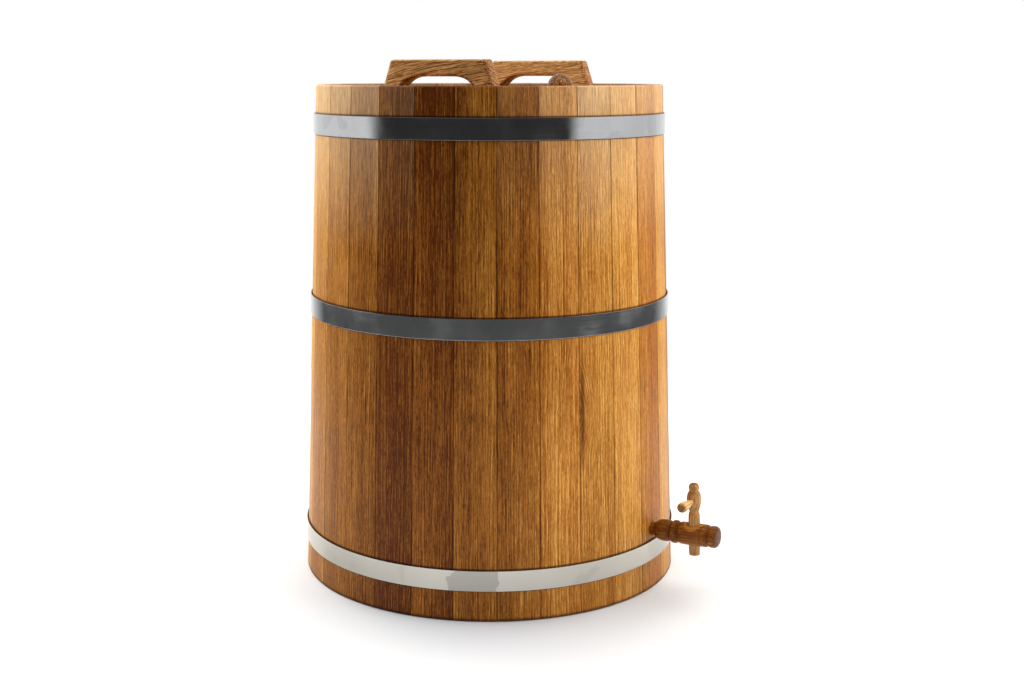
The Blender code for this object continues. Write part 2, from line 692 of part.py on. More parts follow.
def lever_profile():
    """The lever's peg: a club with a round end on a thin tenon."""
    flare_start = KEY_VASE_RADIUS
    flare_end = LEVER_REACH - LEVER_END_LENGTH
    end = [
        (0, LEVER_REACH),
        (LEVER_END_RADIUS * 0.45, LEVER_REACH - LEVER_END_LENGTH * 0.02),
        (LEVER_END_RADIUS * 0.73, LEVER_REACH - LEVER_END_LENGTH * 0.09),
        (LEVER_END_RADIUS * 0.90, LEVER_REACH - LEVER_END_LENGTH * 0.30),
        (LEVER_END_RADIUS * 0.98, LEVER_REACH - LEVER_END_LENGTH * 0.65),
    ]
    flare = []
    for share in (1, 0.8, 0.6, 0.4, 0.2, 0):
        fullness = math.sin(math.pi / 2 * share) ** 1.4
        radius = LEVER_TENON_RADIUS + (LEVER_END_RADIUS - LEVER_TENON_RADIUS) * fullness
        flare.append((radius, flare_start + (flare_end - flare_start) * share))
    return end + flare + [(LEVER_TENON_RADIUS, LEVER_TENON_START), (0, LEVER_TENON_START)]


def build_key(pivot):
    """The key that opens the tap: its plug is bored from the spout up to one side hole."""
    wood = new_material("tap_key", KEY_WOOD, 0.35)
    key = turn(place(profile_mesh("tap_key", key_profile()), "tap_key", pivot, wood), KEY_TURNING_STEPS)
    below = -KEY_END_DEPTH - CUT_PAST
    bore = [(0, 0), (SPOUT_BORE_RADIUS, 0), (SPOUT_BORE_RADIUS, below), (0, below)]
    cut(key, round_cutter("spout_bore", bore, pivot, steps=BORE_STEPS))
    beyond = KEY_TOP_RADIUS + CUT_PAST
    inlet = [(0, beyond), (SPOUT_BORE_RADIUS, beyond), (SPOUT_BORE_RADIUS, 0), (0, 0)]
    cut(key, round_cutter("key_inlet", inlet, pivot, rotation=(0, math.pi / 2, 0), steps=BORE_STEPS))
    spot = (0, 0, LEVER_HEIGHT)
    sideways = (0, -math.pi / 2, 0)
    socket_end = LEVER_TENON_START - GAP
    outside = KEY_VASE_RADIUS + CUT_PAST
    socket_radius = LEVER_TENON_RADIUS + GAP
    socket = [(0, outside), (socket_radius, outside), (socket_radius, socket_end), (0, socket_end)]
    cut(key, round_cutter("lever_socket", socket, pivot, spot, sideways, BORE_STEPS))
    lever_wood = new_material("tap_lever", LEVER_WOOD, 0.4)
    lever = place(profile_mesh("tap_lever", lever_profile()), "tap_lever", pivot, lever_wood, spot, sideways)
    turn(lever, BORE_STEPS)


def main():
    axis = new_empty("barrel_axis", location=(0, AXIS_SETBACK, 0))
    seat_place = (0, -wall_radius(TAP_HEIGHT), TAP_HEIGHT)
    seat = new_empty("tap_seat", axis, seat_place, (math.pi / 2 - WALL_SLOPE, 0, 0))
    pivot = new_empty("key_pivot", seat, (0, 0, KEY_STATION), (-math.pi / 2, 0, 0))
    lid = new_empty("lid_axis", axis, (0, 0, LID_TOP))
    build_staves(axis, build_tap_hole(seat))
    build_bottom_head(axis)
    for where, height in HOOP_HEIGHTS.items():
        build_hoop(axis, where, height)
    boards = build_lid(lid)
    build_bung(lid, boards)
    build_tap(seat, pivot)
    build_key(pivot)


main()
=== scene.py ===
# %% [markdown]
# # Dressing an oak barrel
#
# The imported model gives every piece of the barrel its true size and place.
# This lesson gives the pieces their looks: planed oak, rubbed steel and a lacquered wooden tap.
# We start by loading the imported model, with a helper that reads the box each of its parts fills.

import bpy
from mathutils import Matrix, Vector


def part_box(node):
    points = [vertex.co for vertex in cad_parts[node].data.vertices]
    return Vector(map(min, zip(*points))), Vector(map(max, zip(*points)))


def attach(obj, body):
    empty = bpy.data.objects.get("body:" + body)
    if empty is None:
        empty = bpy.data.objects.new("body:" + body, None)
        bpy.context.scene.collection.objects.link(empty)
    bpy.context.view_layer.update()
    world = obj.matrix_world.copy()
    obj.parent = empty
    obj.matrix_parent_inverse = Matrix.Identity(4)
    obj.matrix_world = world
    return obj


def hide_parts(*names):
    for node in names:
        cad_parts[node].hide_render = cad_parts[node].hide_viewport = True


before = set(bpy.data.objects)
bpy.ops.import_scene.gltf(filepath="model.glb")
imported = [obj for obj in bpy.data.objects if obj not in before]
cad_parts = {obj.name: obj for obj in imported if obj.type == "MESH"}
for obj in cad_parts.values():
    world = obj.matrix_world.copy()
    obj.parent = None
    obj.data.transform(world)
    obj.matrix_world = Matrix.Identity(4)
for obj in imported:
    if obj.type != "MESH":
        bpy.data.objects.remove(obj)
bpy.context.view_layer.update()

import math

import bpy
from mathutils import Matrix, Vector

# %% [markdown]
# The barrel stands behind the origin, because its tap counts in the box too.
# Everything round is turned about the barrel's own axis, so we measure where that is from the lid's
# outer boards.

# %% Find the barrel's axis
low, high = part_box("lid_board_1")[0].y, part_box("lid_board_5")[1].y
AXIS = Vector((0, (low + high) / 2, 0))
print("the axis stands at y =", round(AXIS.y, 4))

# %% [markdown]
# The camera comes first, so that every later choice can be judged from where the photograph was taken.
# It looked down a little from the height of the rim, and the tap pointed to its right.
# The lens is given by its width of view, and a small sideways shift stands for the way the picture
# was cropped.

# %% Camera
CAMERA_AZIMUTH = math.radians(-58)
CAMERA_DISTANCE = 1.7882
CAMERA_HEIGHT = 0.6356
CAMERA_PITCH = math.radians(10.97)
TOWARDS_CAMERA = Vector((math.sin(CAMERA_AZIMUTH), -math.cos(CAMERA_AZIMUTH), 0))
TO_THE_RIGHT = Vector((math.cos(CAMERA_AZIMUTH), math.sin(CAMERA_AZIMUTH), 0))

bpy.ops.object.camera_add(
    location=AXIS + TOWARDS_CAMERA * CAMERA_DISTANCE + Vector((0, 0, CAMERA_HEIGHT)),
    rotation=(math.pi / 2 - CAMERA_PITCH, 0, CAMERA_AZIMUTH),
)
camera = bpy.context.object
camera.data.sensor_width = 36
camera.data.lens = 48.94
camera.data.shift_x = 0.022
bpy.context.scene.camera = camera
print("camera at", [round(value, 3) for value in camera.location])

# %% [markdown]
# The barrel was lit by two wide soft panels, one at each side, so its front is the darkest part and
# both edges glow. A third panel hangs overhead, and a low white card in front brightens the foot.
# Lamps or a lit sky could do it too, but a panel's size sets how soft its light falls on the wood.
# The panels are hidden from reflections: polished steel shows its surroundings so sharply that these
# are drawn on their own, in the next step but one.

# %% Light panels
BARREL_MIDDLE = Vector((0, 0, 0.32))
PANEL_DISTANCE = 1.25
LEFT_TURN, LEFT_WIDTH = -112, 1.7
RIGHT_TURN, RIGHT_WIDTH = 92, 1.9


def light_panel(name, turn, distance, height, size, radiance, colour):
    """A soft panel at an angle from the camera's own direction, facing the middle of the barrel."""
    turn = math.radians(turn)
    place = AXIS + (TO_THE_RIGHT * math.sin(turn) + TOWARDS_CAMERA * math.cos(turn)) * distance
    place.z = height
    aim = (AXIS + BARREL_MIDDLE - place).to_track_quat("-Z", "Y")
    bpy.ops.object.light_add(type="AREA", location=place, rotation=aim.to_euler())
    panel = bpy.context.object
    panel.name = name
    panel.data.shape = "RECTANGLE"
    panel.data.size, panel.data.size_y = size
    panel.data.energy = radiance * math.pi * size[0] * size[1]
    panel.data.color = colour
    panel.visible_glossy = panel.visible_camera = False
    print(name, "gives", round(panel.data.energy, 1), "W")


light_panel("right_panel", RIGHT_TURN, PANEL_DISTANCE, 1.20, (RIGHT_WIDTH, 1.2), 4.6, (1.0, 0.98, 0.94))
light_panel("left_panel", LEFT_TURN, PANEL_DISTANCE, 1.20, (LEFT_WIDTH, 1.2), 4.6, (1.0, 0.99, 0.96))
light_panel("low_card", 0, 0.9, 0.10, (1.2, 0.18), 2.2, (1.0, 0.99, 0.97))
light_panel("top_panel", 180, 0.05, 2.0, (2.2, 2.0), 2.5, (1.0, 1.0, 1.0))

# %% [markdown]
# The room, the table and every finish are trees of nodes. They could be joined one link at a time, but
# the same few moves come back everywhere. So these helpers add a node, set its values and join its
# inputs in one call, and a tree can be read as a short list of steps.

# %% Node helpers
def new_material(name):
    material = bpy.data.materials.new(name)
    material.use_nodes = True
    return material, material.node_tree.nodes["Principled BSDF"]


def set_inputs(owner, node, inputs):
    """Joins a node's inputs to the sockets given, or sets them to the plain values given."""
    for key, value in inputs.items():
        if isinstance(value, bpy.types.NodeSocket):
            owner.node_tree.links.new(value, node.inputs[key])
        else:
            node.inputs[key].default_value = value


def add_node(owner, kind, inputs=None, **settings):
    """A new node in the tree of a material or of the world."""
    node = owner.node_tree.nodes.new("ShaderNode" + kind)
    for key, value in settings.items():
        setattr(node, key, value)
    set_inputs(owner, node, inputs or {})
    return node


def maths(owner, operation, first, second=0.0, clamp=False):
    return add_node(owner, "Math", {0: first, 1: second}, operation=operation, use_clamp=clamp).outputs[0]


def vector_maths(owner, operation, first, second=(0, 0, 0)):
    node = add_node(owner, "VectorMath", {0: first, 1: second}, operation=operation)
    return node.outputs["Value" if operation in ("LENGTH", "DISTANCE", "DOT_PRODUCT") else "Vector"]


def widen(owner, value, low, high, to_low=0.0, to_high=1.0):
    """Stretches one range of a value over another, and holds it at the ends."""
    inputs = {"Value": value, "From Min": low, "From Max": high, "To Min": to_low, "To Max": to_high}
    return add_node(owner, "MapRange", inputs).outputs[0]


def blend_colours(owner, share, under, over, mode="MIX"):
    """Lays one colour over another. A colour is a socket or three numbers."""
    under, over = (
        colour if isinstance(colour, bpy.types.NodeSocket) else (*colour, 1) for colour in (under, over)
    )
    inputs = {"Factor": share, 6: under, 7: over}
    return add_node(owner, "Mix", inputs, data_type="RGBA", blend_type=mode).outputs[2]


def colour_ramp(owner, share, stops, interpolation="LINEAR"):
    """The colour that a share meets on its way along (position, colour) stops."""
    node = add_node(owner, "ValToRGB", {"Fac": share})
    node.color_ramp.interpolation = interpolation
    elements = node.color_ramp.elements
    for position, _ in stops[1:-1]:
        elements.new(position)
    for element, (position, colour) in zip(elements, stops):
        element.position, element.color = position, (*colour, 1)
    return node.outputs[0]


# %% [markdown]
# The room is a World shader that answers each kind of ray in its own way. Rays straight from the camera
# see plain white. Soft fill light is dim. Reflections see a studio: a white backdrop behind the barrel,
# the two pale panels where the lamps stand, a dark room between them and a dim floor below. Real walls
# could be built round the barrel, but a reflection only needs to know which way it looks. So each
# ramp runs once round, from behind the barrel by its left side, the camera and its right side. Its
# steps are worked out from the lamps' own angles and widths, in plain greys, and the two ramps are
# joined by how steeply a ray falls.

# %% Room
BACKDROP, PANEL_GLOW, ROOM_DARK, FLOOR_DIM = 0.95, 0.85, 0.04, 0.11
BACKDROP_END, PANEL_EDGE, FLOOR_EDGE = 0.06, 0.012, 0.08  # as shares of the full turn


def grey(level):
    return (level, level, level)


def panel_edges(turn, width):
    """Where a panel starts and ends, as shares of the full turn from behind the barrel."""
    half = math.degrees(math.atan2(width / 2, PANEL_DISTANCE))
    return 0.5 + (turn - half) / 360, 0.5 + (turn + half) / 360


def ring_of_walls():
    left_start, left_end = panel_edges(LEFT_TURN, LEFT_WIDTH)
    right_start, right_end = panel_edges(RIGHT_TURN, RIGHT_WIDTH)
    levels = (
        (0.0, BACKDROP), (BACKDROP_END, BACKDROP),
        (left_start, PANEL_GLOW), (left_end - PANEL_EDGE, PANEL_GLOW), (left_end + PANEL_EDGE, ROOM_DARK),
        (right_start - PANEL_EDGE, ROOM_DARK), (right_start + PANEL_EDGE, PANEL_GLOW), (right_end, PANEL_GLOW),
        (1 - BACKDROP_END, BACKDROP), (1.0, BACKDROP),
    )
    return [(place, grey(level)) for place, level in levels]


def ring_of_floor():
    near, far = BACKDROP_END, BACKDROP_END + FLOOR_EDGE
    levels = (
        (0.0, BACKDROP), (near, BACKDROP), (far, FLOOR_DIM), (1 - far, FLOOR_DIM), (1 - near, BACKDROP),
        (1.0, BACKDROP),
    )
    return [(place, grey(level)) for place, level in levels]


CEILING = (0.78, 0.79, 0.80)
WHITE = (1, 1, 1, 1)
SOFT_FILL = 0.12
WALLS_END, FLOOR_STARTS = -0.07, -0.14
WALLS_TOP, CEILING_STARTS = 0.30, 0.45


def build_room():
    world = bpy.data.worlds.new("studio")
    bpy.context.scene.world = world
    world.use_nodes = True
    world.node_tree.nodes.clear()
    direction = add_node(world, "TexCoord").outputs["Generated"]
    sideways = vector_maths(world, "DOT_PRODUCT", direction, TO_THE_RIGHT)
    forwards = vector_maths(world, "DOT_PRODUCT", direction, TOWARDS_CAMERA)
    around = widen(world, maths(world, "ARCTAN2", sideways, forwards), -math.pi, math.pi)
    steepness = add_node(world, "SeparateXYZ", {0: direction}).outputs["Z"]
    below = widen(world, steepness, WALLS_END, FLOOR_STARTS)
    above = widen(world, steepness, WALLS_TOP, CEILING_STARTS)
    studio = blend_colours(
        world, below, colour_ramp(world, around, ring_of_walls()), colour_ramp(world, around, ring_of_floor())
    )
    studio = blend_colours(world, above, studio, CEILING)
    ray = add_node(world, "LightPath")
    seen = add_node(world, "Background", {"Color": (SOFT_FILL, SOFT_FILL, SOFT_FILL, 1)}).outputs[0]
    for kind, colour in (("Is Glossy Ray", studio), ("Is Camera Ray", WHITE)):
        background = add_node(world, "Background", {"Color": colour}).outputs[0]
        seen = add_node(world, "MixShader", {0: ray.outputs[kind], 1: seen, 2: background}).outputs[0]
    add_node(world, "OutputWorld", {0: seen})


build_room()
bpy.context.scene.view_settings.view_transform = "Standard"
print("left panel from", panel_edges(LEFT_TURN, LEFT_WIDTH), "of the way round")

# %% [markdown]
# The table is a pale disc. A larger floor would do for the shadow, but this one ends where the
# lower hoop's reflection ends and the middle hoop's begins: that is why the lowest hoop looks white in
# the photograph while the two others look dark. A soft round shadow, painted into the disc's colour,
# greys the floor in front of the foot.

# %% Table
TABLE_RADIUS = 1.25
TABLE_PALE, TABLE_PAINTED_SHADOW = (0.96, 0.96, 0.96), (0.56, 0.575, 0.60)
PAINTED_SHADOW_SHIFT = TO_THE_RIGHT * -0.02 + TOWARDS_CAMERA * -0.20


def clear_selection():
    if bpy.context.object and bpy.context.object.mode != "OBJECT":
        bpy.ops.object.mode_set(mode="OBJECT")
    bpy.ops.object.select_all(action="DESELECT")


clear_selection()
bpy.ops.mesh.primitive_circle_add(
    vertices=96, radius=TABLE_RADIUS, fill_type="NGON", location=(0, AXIS.y, -0.0005)
)
table = bpy.context.object
table.name = "table"
table_white, table_shader = new_material("table_white")
table_places = add_node(table_white, "TexCoord").outputs["Object"]
table_places = add_node(table_white, "Mapping", {"Vector": table_places, "Location": PAINTED_SHADOW_SHIFT}).outputs[0]
# painted shadow: the disc's colour darkens towards a spot just in front of the foot
spread = add_node(table_white, "TexGradient", {0: table_places}, gradient_type="SPHERICAL").outputs["Fac"]
painted_shadow = colour_ramp(table_white, spread, ((0.55, TABLE_PALE), (0.98, TABLE_PAINTED_SHADOW)), "EASE")
set_inputs(table_white, table_shader, {"Base Color": painted_shadow, "Roughness": 0.6, "Specular IOR Level": 0.2})
table.data.materials.append(table_white)
print("the table is", 2 * TABLE_RADIUS, "m across")

# %% [markdown]
# Wood is drawn along the tree. A pattern could be turned for each piece in its material, but then every
# piece would need a material of its own. So each wooden piece keeps a note, at every vertex, of where
# that point lay in its plank: x across, y through and z along the fibres. The note turns with the
# piece, and every pattern reads it. Other notes hold how light or red that plank is, so that one oak
# finish can serve every stave, and make the end grain darker, because cut fibres drink more oil.

# %% Notes for the grain
def note(piece, name, values):
    """Writes one number for each vertex of a piece, under a name that its finish reads."""
    if name not in piece.data.attributes:
        piece.data.attributes.new(name, "FLOAT", "POINT")
    piece.data.attributes[name].data.foreach_set("value", values)


def lay_grain(piece, along=(0, 0, 1), middle=(0, 0, 0), shift=(0, 0, 0), tone=0.0, red=0.0, end=0.0):
    """Notes each vertex's place in a plank whose fibres run along a direction."""
    along = Vector(along).normalized()
    turn = along.rotation_difference(Vector((0, 0, 1))).to_matrix()
    middle, shift = Vector(middle), Vector(shift)
    places = [turn @ (vertex.co - middle) + shift for vertex in piece.data.vertices]
    grain = piece.data.attributes.new("grain", "FLOAT_VECTOR", "POINT")
    grain.data.foreach_set("vector", [value for place in places for value in place])
    note(piece, "tone", [tone - end * abs(vertex.normal.dot(along)) for vertex in piece.data.vertices])
    note(piece, "red", [red] * len(places))


def shade_where(piece, chosen, change, name="tone"):
    """Makes a wooden piece paler, darker or redder at the vertices that pass a test."""
    for vertex, written in zip(piece.data.vertices, piece.data.attributes[name].data):
        if chosen(vertex):
            written.value += change


# %% [markdown]
# Oak shows several patterns at once, each at its own scale: broad bands where the tree grew fast or
# slowly, yearly rings a few millimetres apart, which are lines on a plank's face, fine fibres, and
# short dark pores along them. A picture of wood could show them all, but it would repeat from stave to
# stave. Noise never does, so each pattern is a noise, squeezed across the fibres and stretched along.

# %% Wood patterns
def read_note(material, name, output="Fac"):
    return add_node(material, "Attribute", attribute_name=name).outputs[output]


def stretch(material, places, scale):
    return add_node(material, "Mapping", {"Vector": places, "Scale": scale}).outputs[0]


def streaks(material, places, across, along, detail=2.0, roughness=0.5, distortion=0.0):
    """Noise with so many features to the metre across the fibres and along them."""
    inputs = {
        "Vector": stretch(material, places, (across, across, along)),
        "Scale": 1.0,
        "Detail": detail,
        "Roughness": roughness,
        "Distortion": distortion,
    }
    return add_node(material, "TexNoise", inputs).outputs["Fac"]


# %% [markdown]
# Fibres are seldom straight. A slow noise pushes the places aside before a pattern reads them, and so
# the grain sways. Round a knot the fibres bend, and a dark split can open beside it. The rings' fine
# lines could be a noise too, but at this size it only looks like dots. So they are an even wave, made
# uneven by distortion, and broken up here and there as pores break them.

# %% Wavy grain, knots and ring lines
def sway(material, places, wander):
    """Moves places aside by up to half the wander, in metres."""
    slow = {"Vector": stretch(material, places, (14, 14, 3.2)), "Scale": 1.0, "Detail": 3.0}
    push = add_node(material, "TexNoise", slow).outputs["Color"]
    centred = vector_maths(material, "SUBTRACT", push, (0.5, 0.5, 0.5))
    return vector_maths(material, "ADD", places, vector_maths(material, "MULTIPLY", centred, (wander,) * 3))


def bend_round_knot(material, places, knot):
    """The places, bent round an oval knot, and how far each of them lies in the split beside it."""
    beside = vector_maths(material, "SUBTRACT", places, knot)
    oval = vector_maths(material, "LENGTH", stretch(material, beside, (42, 0, 17)))
    shove = add_node(material, "CombineXYZ", {"X": widen(material, oval, 1.0, 0.0, 0.0, -0.018)}).outputs[0]
    narrow = vector_maths(material, "LENGTH", stretch(material, beside, (230, 0, 13)))
    return vector_maths(material, "ADD", places, shove), widen(material, narrow, 1.0, 0.4, 0.0, 0.95)


def ring_lines(material, places, rings):
    """Fine lines a few millimetres apart, which come and go along the plank."""
    uneven = {
        "Vector": stretch(material, rings, (92, 92, 2.4)),
        "Scale": 1.0,
        "Distortion": 12.0,
        "Detail": 3.0,
        "Detail Scale": 1.3,
    }
    wave = add_node(material, "TexWave", uneven, wave_type="BANDS", bands_direction="X").outputs["Fac"]
    broken = widen(material, streaks(material, places, 70, 26, 3.0, 0.7), 0.38, 0.62, 0.0, 1.1)
    return maths(material, "MULTIPLY", maths(material, "SUBTRACT", wave, 0.5), broken)


# %% [markdown]
# Some of what a stave shows isn't wood at all. A painted sheen, a pale highlight of the side lamps, lies
# high on the wall; a note says how much of it each stave has, and the fibres break it up. Beside each
# hoop a dark line is partly iron stain and partly painted shade, and a painted shadow line runs along
# the foot. They could be painted on a picture of each stave, but all of them follow the height above
# the floor, so the finish reads that.

# %% Painted sheen, stains and painted shade
# The sheen is painted light: the staves' colour is mixed towards a pale colour high on the wall.
SHEEN_COLOUR = (0.88, 0.72, 0.48)
SHEEN_STARTS, SHEEN_FULL, SHEEN_SHARE = 0.43, 0.61, 0.36


def lay_painted_sheen(material, colour, fibre, height):
    # painted sheen: paler towards the top, by each stave's note, and broken by the fibres
    sheen = widen(material, height, SHEEN_STARTS, SHEEN_FULL, 0.0, SHEEN_SHARE)
    sheen = maths(material, "MULTIPLY", read_note(material, "painted_sheen"), sheen)
    sheen = maths(material, "MULTIPLY", sheen, widen(material, fibre, 0.35, 0.65, 0.6, 1.3), clamp=True)
    return blend_colours(material, sheen, colour, SHEEN_COLOUR)


def add_stains_and_shade(material, grime_and_shade, stains_and_shade, height):
    """Each dark band, of stain and painted shade, is the height that it starts from and how far it reaches."""
    for place, reach in stains_and_shade:
        away = maths(material, "ABSOLUTE", maths(material, "SUBTRACT", height, place))
        grime_and_shade = maths(material, "MAXIMUM", grime_and_shade, widen(material, away, reach * 0.4, reach, 0.9, 0.0))
    return grime_and_shade


# %% [markdown]
# The wood finish puts the patterns together. Each could tint the colour on its own, but then their
# colours would mix to mud. So they are added up first, and the sum runs through a ramp of three shades,
# from the wood's darkest fibre to its palest. A painted sheen pales it high on the wall, and pores, dirt
# in the joints between planks, the stains and the painted shade beside the hoops and along the foot
# darken it. The same patterns raise the surface a few hundredths of a millimetre, so that the gloss
# breaks up along them.

# %% Wood finish
RED_WOOD = (0.93, 0.62, 0.50)
# the dark colour of dirt in the joints, knot splits, stains and painted shade
GRIME_AND_SHADE = (0.30, 0.23, 0.18)


def wood(name, shades, lines, wander, pores, roughness, contrast=1.0, coat=0.0, turn=None,
         stains_and_shade=(), knots=(), shortness=1.0, flecks=0.10, ring_contrast=0.0):
    """Wood with so many fibre lines to the metre. A turn is for CAD nodes, which carry no notes."""
    material, shader = new_material(name)
    own_places = add_node(material, "TexCoord").outputs["Object"]
    if turn is None:
        places = read_note(material, "grain", "Vector")
    else:
        places = add_node(material, "Mapping", {"Vector": own_places, "Rotation": turn}).outputs[0]
    places = sway(material, places, wander)
    splits = []
    for knot in knots:
        places, split = bend_round_knot(material, places, knot)
        splits.append(split)

    from_pith = vector_maths(material, "LENGTH", vector_maths(material, "MULTIPLY", places, (1, 1, 0)))
    along = add_node(material, "SeparateXYZ", {0: places}).outputs["Z"]
    rings = add_node(material, "CombineXYZ", {"X": from_pith, "Z": along}).outputs[0]
    band = streaks(material, places, 34, 1.6, 1.0)
    growth = streaks(material, rings, lines * 0.85, lines * 0.003, 3.0, 0.65, 0.15)
    fibre = streaks(material, places, lines * 1.3, lines * 0.035 * shortness, 2.0, 0.6, 0.1)
    fleck = streaks(material, places, lines * 1.4, lines * 0.14 * shortness, 1.0)
    pore = streaks(material, places, lines * 1.5, lines * 0.09 * shortness, 1.0)
    cloud = streaks(material, own_places, 13, 8, 2.0)

    share = maths(material, "ADD", widen(material, band, 0.3, 0.7, 0.36, 0.54), read_note(material, "tone"))
    lively = ((growth, 0.22 * contrast), (fibre, 0.25 * contrast), (fleck, flecks * contrast), (cloud, 0.07))
    for pattern, swing in lively:
        share = maths(material, "ADD", share, widen(material, pattern, 0.3, 0.7, -swing, swing))
    if ring_contrast:
        lines_of_rings = ring_lines(material, places, rings)
        share = maths(material, "ADD", share, maths(material, "MULTIPLY", lines_of_rings, ring_contrast))
    colour = colour_ramp(material, share, tuple(zip((0.0, 0.5, 1.0), shades)))
    band_red = widen(material, band, 0.35, 0.7, 0.18, -0.08)
    redness = maths(material, "ADD", read_note(material, "red"), band_red, clamp=True)
    colour = blend_colours(material, redness, colour, RED_WOOD, "MULTIPLY")
    dark_pores = widen(material, pore, 0.58, 0.68, 1.0, 1.0 - pores)
    colour = blend_colours(material, 1.0, colour, dark_pores, "MULTIPLY")

    patchy = widen(material, streaks(material, places, 25, 8, 2.0), 0.42, 0.60, 0.15, 1.0)
    beside_joint = widen(material, maths(material, "ABSOLUTE", read_note(material, "edge")), 0.95, 0.995)
    grime_and_shade = maths(material, "MULTIPLY", beside_joint, patchy)
    # painted sheen high on the wall; dark bands, partly iron stain and partly painted shade, beside each hoop;
    # a painted shadow line along the foot
    if stains_and_shade:
        height = add_node(material, "SeparateXYZ", {0: own_places}).outputs["Z"]
        colour = lay_painted_sheen(material, colour, fibre, height)
        grime_and_shade = add_stains_and_shade(material, grime_and_shade, stains_and_shade, height)
    for split in splits:
        grime_and_shade = maths(material, "MAXIMUM", grime_and_shade, split)
    colour = blend_colours(material, grime_and_shade, colour, GRIME_AND_SHADE, "MULTIPLY")

    relief = maths(material, "ADD", fibre, maths(material, "MULTIPLY", dark_pores, 0.5))
    bump = add_node(material, "Bump", {"Height": relief, "Strength": 0.35, "Distance": 0.0003})
    surface = {
        "Base Color": colour,
        "Roughness": widen(material, fibre, 0.3, 0.7, roughness - 0.08, roughness + 0.10),
        "Normal": bump.outputs[0],
        "Coat Weight": coat,
        "Coat Roughness": 0.22,
        "Specular IOR Level": 0.12,
    }
    set_inputs(material, shader, surface)
    return material


# %% [markdown]
# The staves need the fullest finish of all, because they are most of what is seen. Each stave is cut
# from another place in one long log, and one of them, left of the tap, has the photograph's knot. The
# stains and the painted shade beside them follow the hoops, so their heights are read from the model.

# %% Stave oak
OAK = ((0.080, 0.020, 0.0022), (0.36, 0.135, 0.016), (0.76, 0.40, 0.095))
# a painted shadow line along the foot, where the staves meet the floor; the hoop bands are partly iron stain,
# partly painted shade
FOOT_SHADOW_LINE = (0.0, 0.0046)
STAINS_AND_SHADE = []
for where in ("bottom", "middle", "top"):
    hoop_low, hoop_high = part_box(f"hoop_{where}")
    STAINS_AND_SHADE += [(hoop_high.z, 0.0026), (hoop_low.z, 0.0014)]
STAINS_AND_SHADE.append(FOOT_SHADOW_LINE)


def place_in_log(index):
    """Where a stave's plank lay in the log, far enough from the others to share no pattern."""
    return index * 0.37 + 3, index * 0.1137 + 0.213, index * 1.3


knot_across, _, knot_along = place_in_log(27)
KNOT = (knot_across - 0.0215, 0, knot_along + 0.235)
STAVE_OAK = wood(
    "stave_oak", OAK, 1000, 0.004, 0.10, 0.42, 0.90,
    stains_and_shade=STAINS_AND_SHADE, knots=[KNOT], shortness=1.5, flecks=0.15, ring_contrast=0.36,
)
print("made", STAVE_OAK.name, "with", len(STAVE_OAK.node_tree.nodes), "nodes")

# %% [markdown]
# Every finished piece goes through the same last steps: its place is applied to its mesh, it is shaded
# smooth except at edges, it gets its finish, it rides on the body it belongs to, and it stands for the
# plain CAD node. Modifiers could be left on a piece, but they are applied, so that its mesh is final.

# %% Finishing a piece
def apply_modifier(piece, kind, **settings):
    clear_selection()
    bpy.context.view_layer.objects.active = piece
    piece.select_set(True)
    modifier = piece.modifiers.new(kind.lower(), kind)
    for key, value in settings.items():
        setattr(modifier, key, value)
    bpy.ops.object.modifier_apply(modifier=modifier.name)


def break_edges(piece, width, sharper_than):
    """Bevels every edge that turns by more than an angle in degrees, as a few strokes of a plane do."""
    angle = math.radians(sharper_than)
    apply_modifier(piece, "BEVEL", width=width, segments=2, limit_method="ANGLE", angle_limit=angle)


def cut_away(piece, cutter):
    apply_modifier(piece, "BOOLEAN", operation="DIFFERENCE", object=cutter, solver="EXACT")
    bpy.data.objects.remove(cutter)


def finish_piece(piece, material, body, node, smooth_below=40):
    clear_selection()
    bpy.context.view_layer.objects.active = piece
    piece.select_set(True)
    bpy.ops.object.transform_apply(location=True, rotation=True, scale=True)
    bpy.ops.object.shade_smooth_by_angle(angle=math.radians(smooth_below))
    apply_modifier(piece, "WEIGHTED_NORMAL", keep_sharp=True)
    piece.data.materials.clear()
    piece.data.materials.append(material)
    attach(piece, body)
    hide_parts(node)
    return piece


# %% [markdown]
# Turned pieces are made as on a lathe. A half profile could be spun, but its points on the axis would
# have to be merged. Here a small disc is drawn out along its axis, and scaled to the next radius at
# every step of the profile, so the two ends stay closed by themselves.

# %% Lathe
def turn_piece(name, profile, sides=64, rounding=0):
    """A turned piece that stands on Z, from (radius, height) pairs."""
    clear_selection()
    radius, height = profile[0]
    bpy.ops.mesh.primitive_circle_add(
        vertices=sides, radius=radius, fill_type="NGON", location=(0, 0, height)
    )
    piece = bpy.context.object
    piece.name = name
    bpy.ops.object.transform_apply(location=True)
    bpy.ops.object.mode_set(mode="EDIT")
    bpy.ops.mesh.select_all(action="SELECT")
    for next_radius, next_height in profile[1:]:
        rise = (0, 0, next_height - height)
        bpy.ops.mesh.extrude_region_move(TRANSFORM_OT_translate={"value": rise})
        scale = next_radius / radius
        bpy.ops.transform.resize(value=(scale, scale, 1), center_override=(0, 0, next_height))
        radius, height = next_radius, next_height
    bpy.ops.mesh.select_all(action="SELECT")
    bpy.ops.mesh.normals_make_consistent(inside=False)
    bpy.ops.object.mode_set(mode="OBJECT")
    if rounding:
        apply_modifier(piece, "SUBSURF", levels=rounding, render_levels=rounding)
    return piece


# %% [markdown]
# A stave is one of the planks that make the wall. The whole wall could be one cone, scored into
# strips, but real joints catch the light as two edges do. So one plank is modelled: its section is
# drawn once, leaning inwards by the slope of the wall, and spun about the barrel's axis through one
# twenty-ninth of a turn.

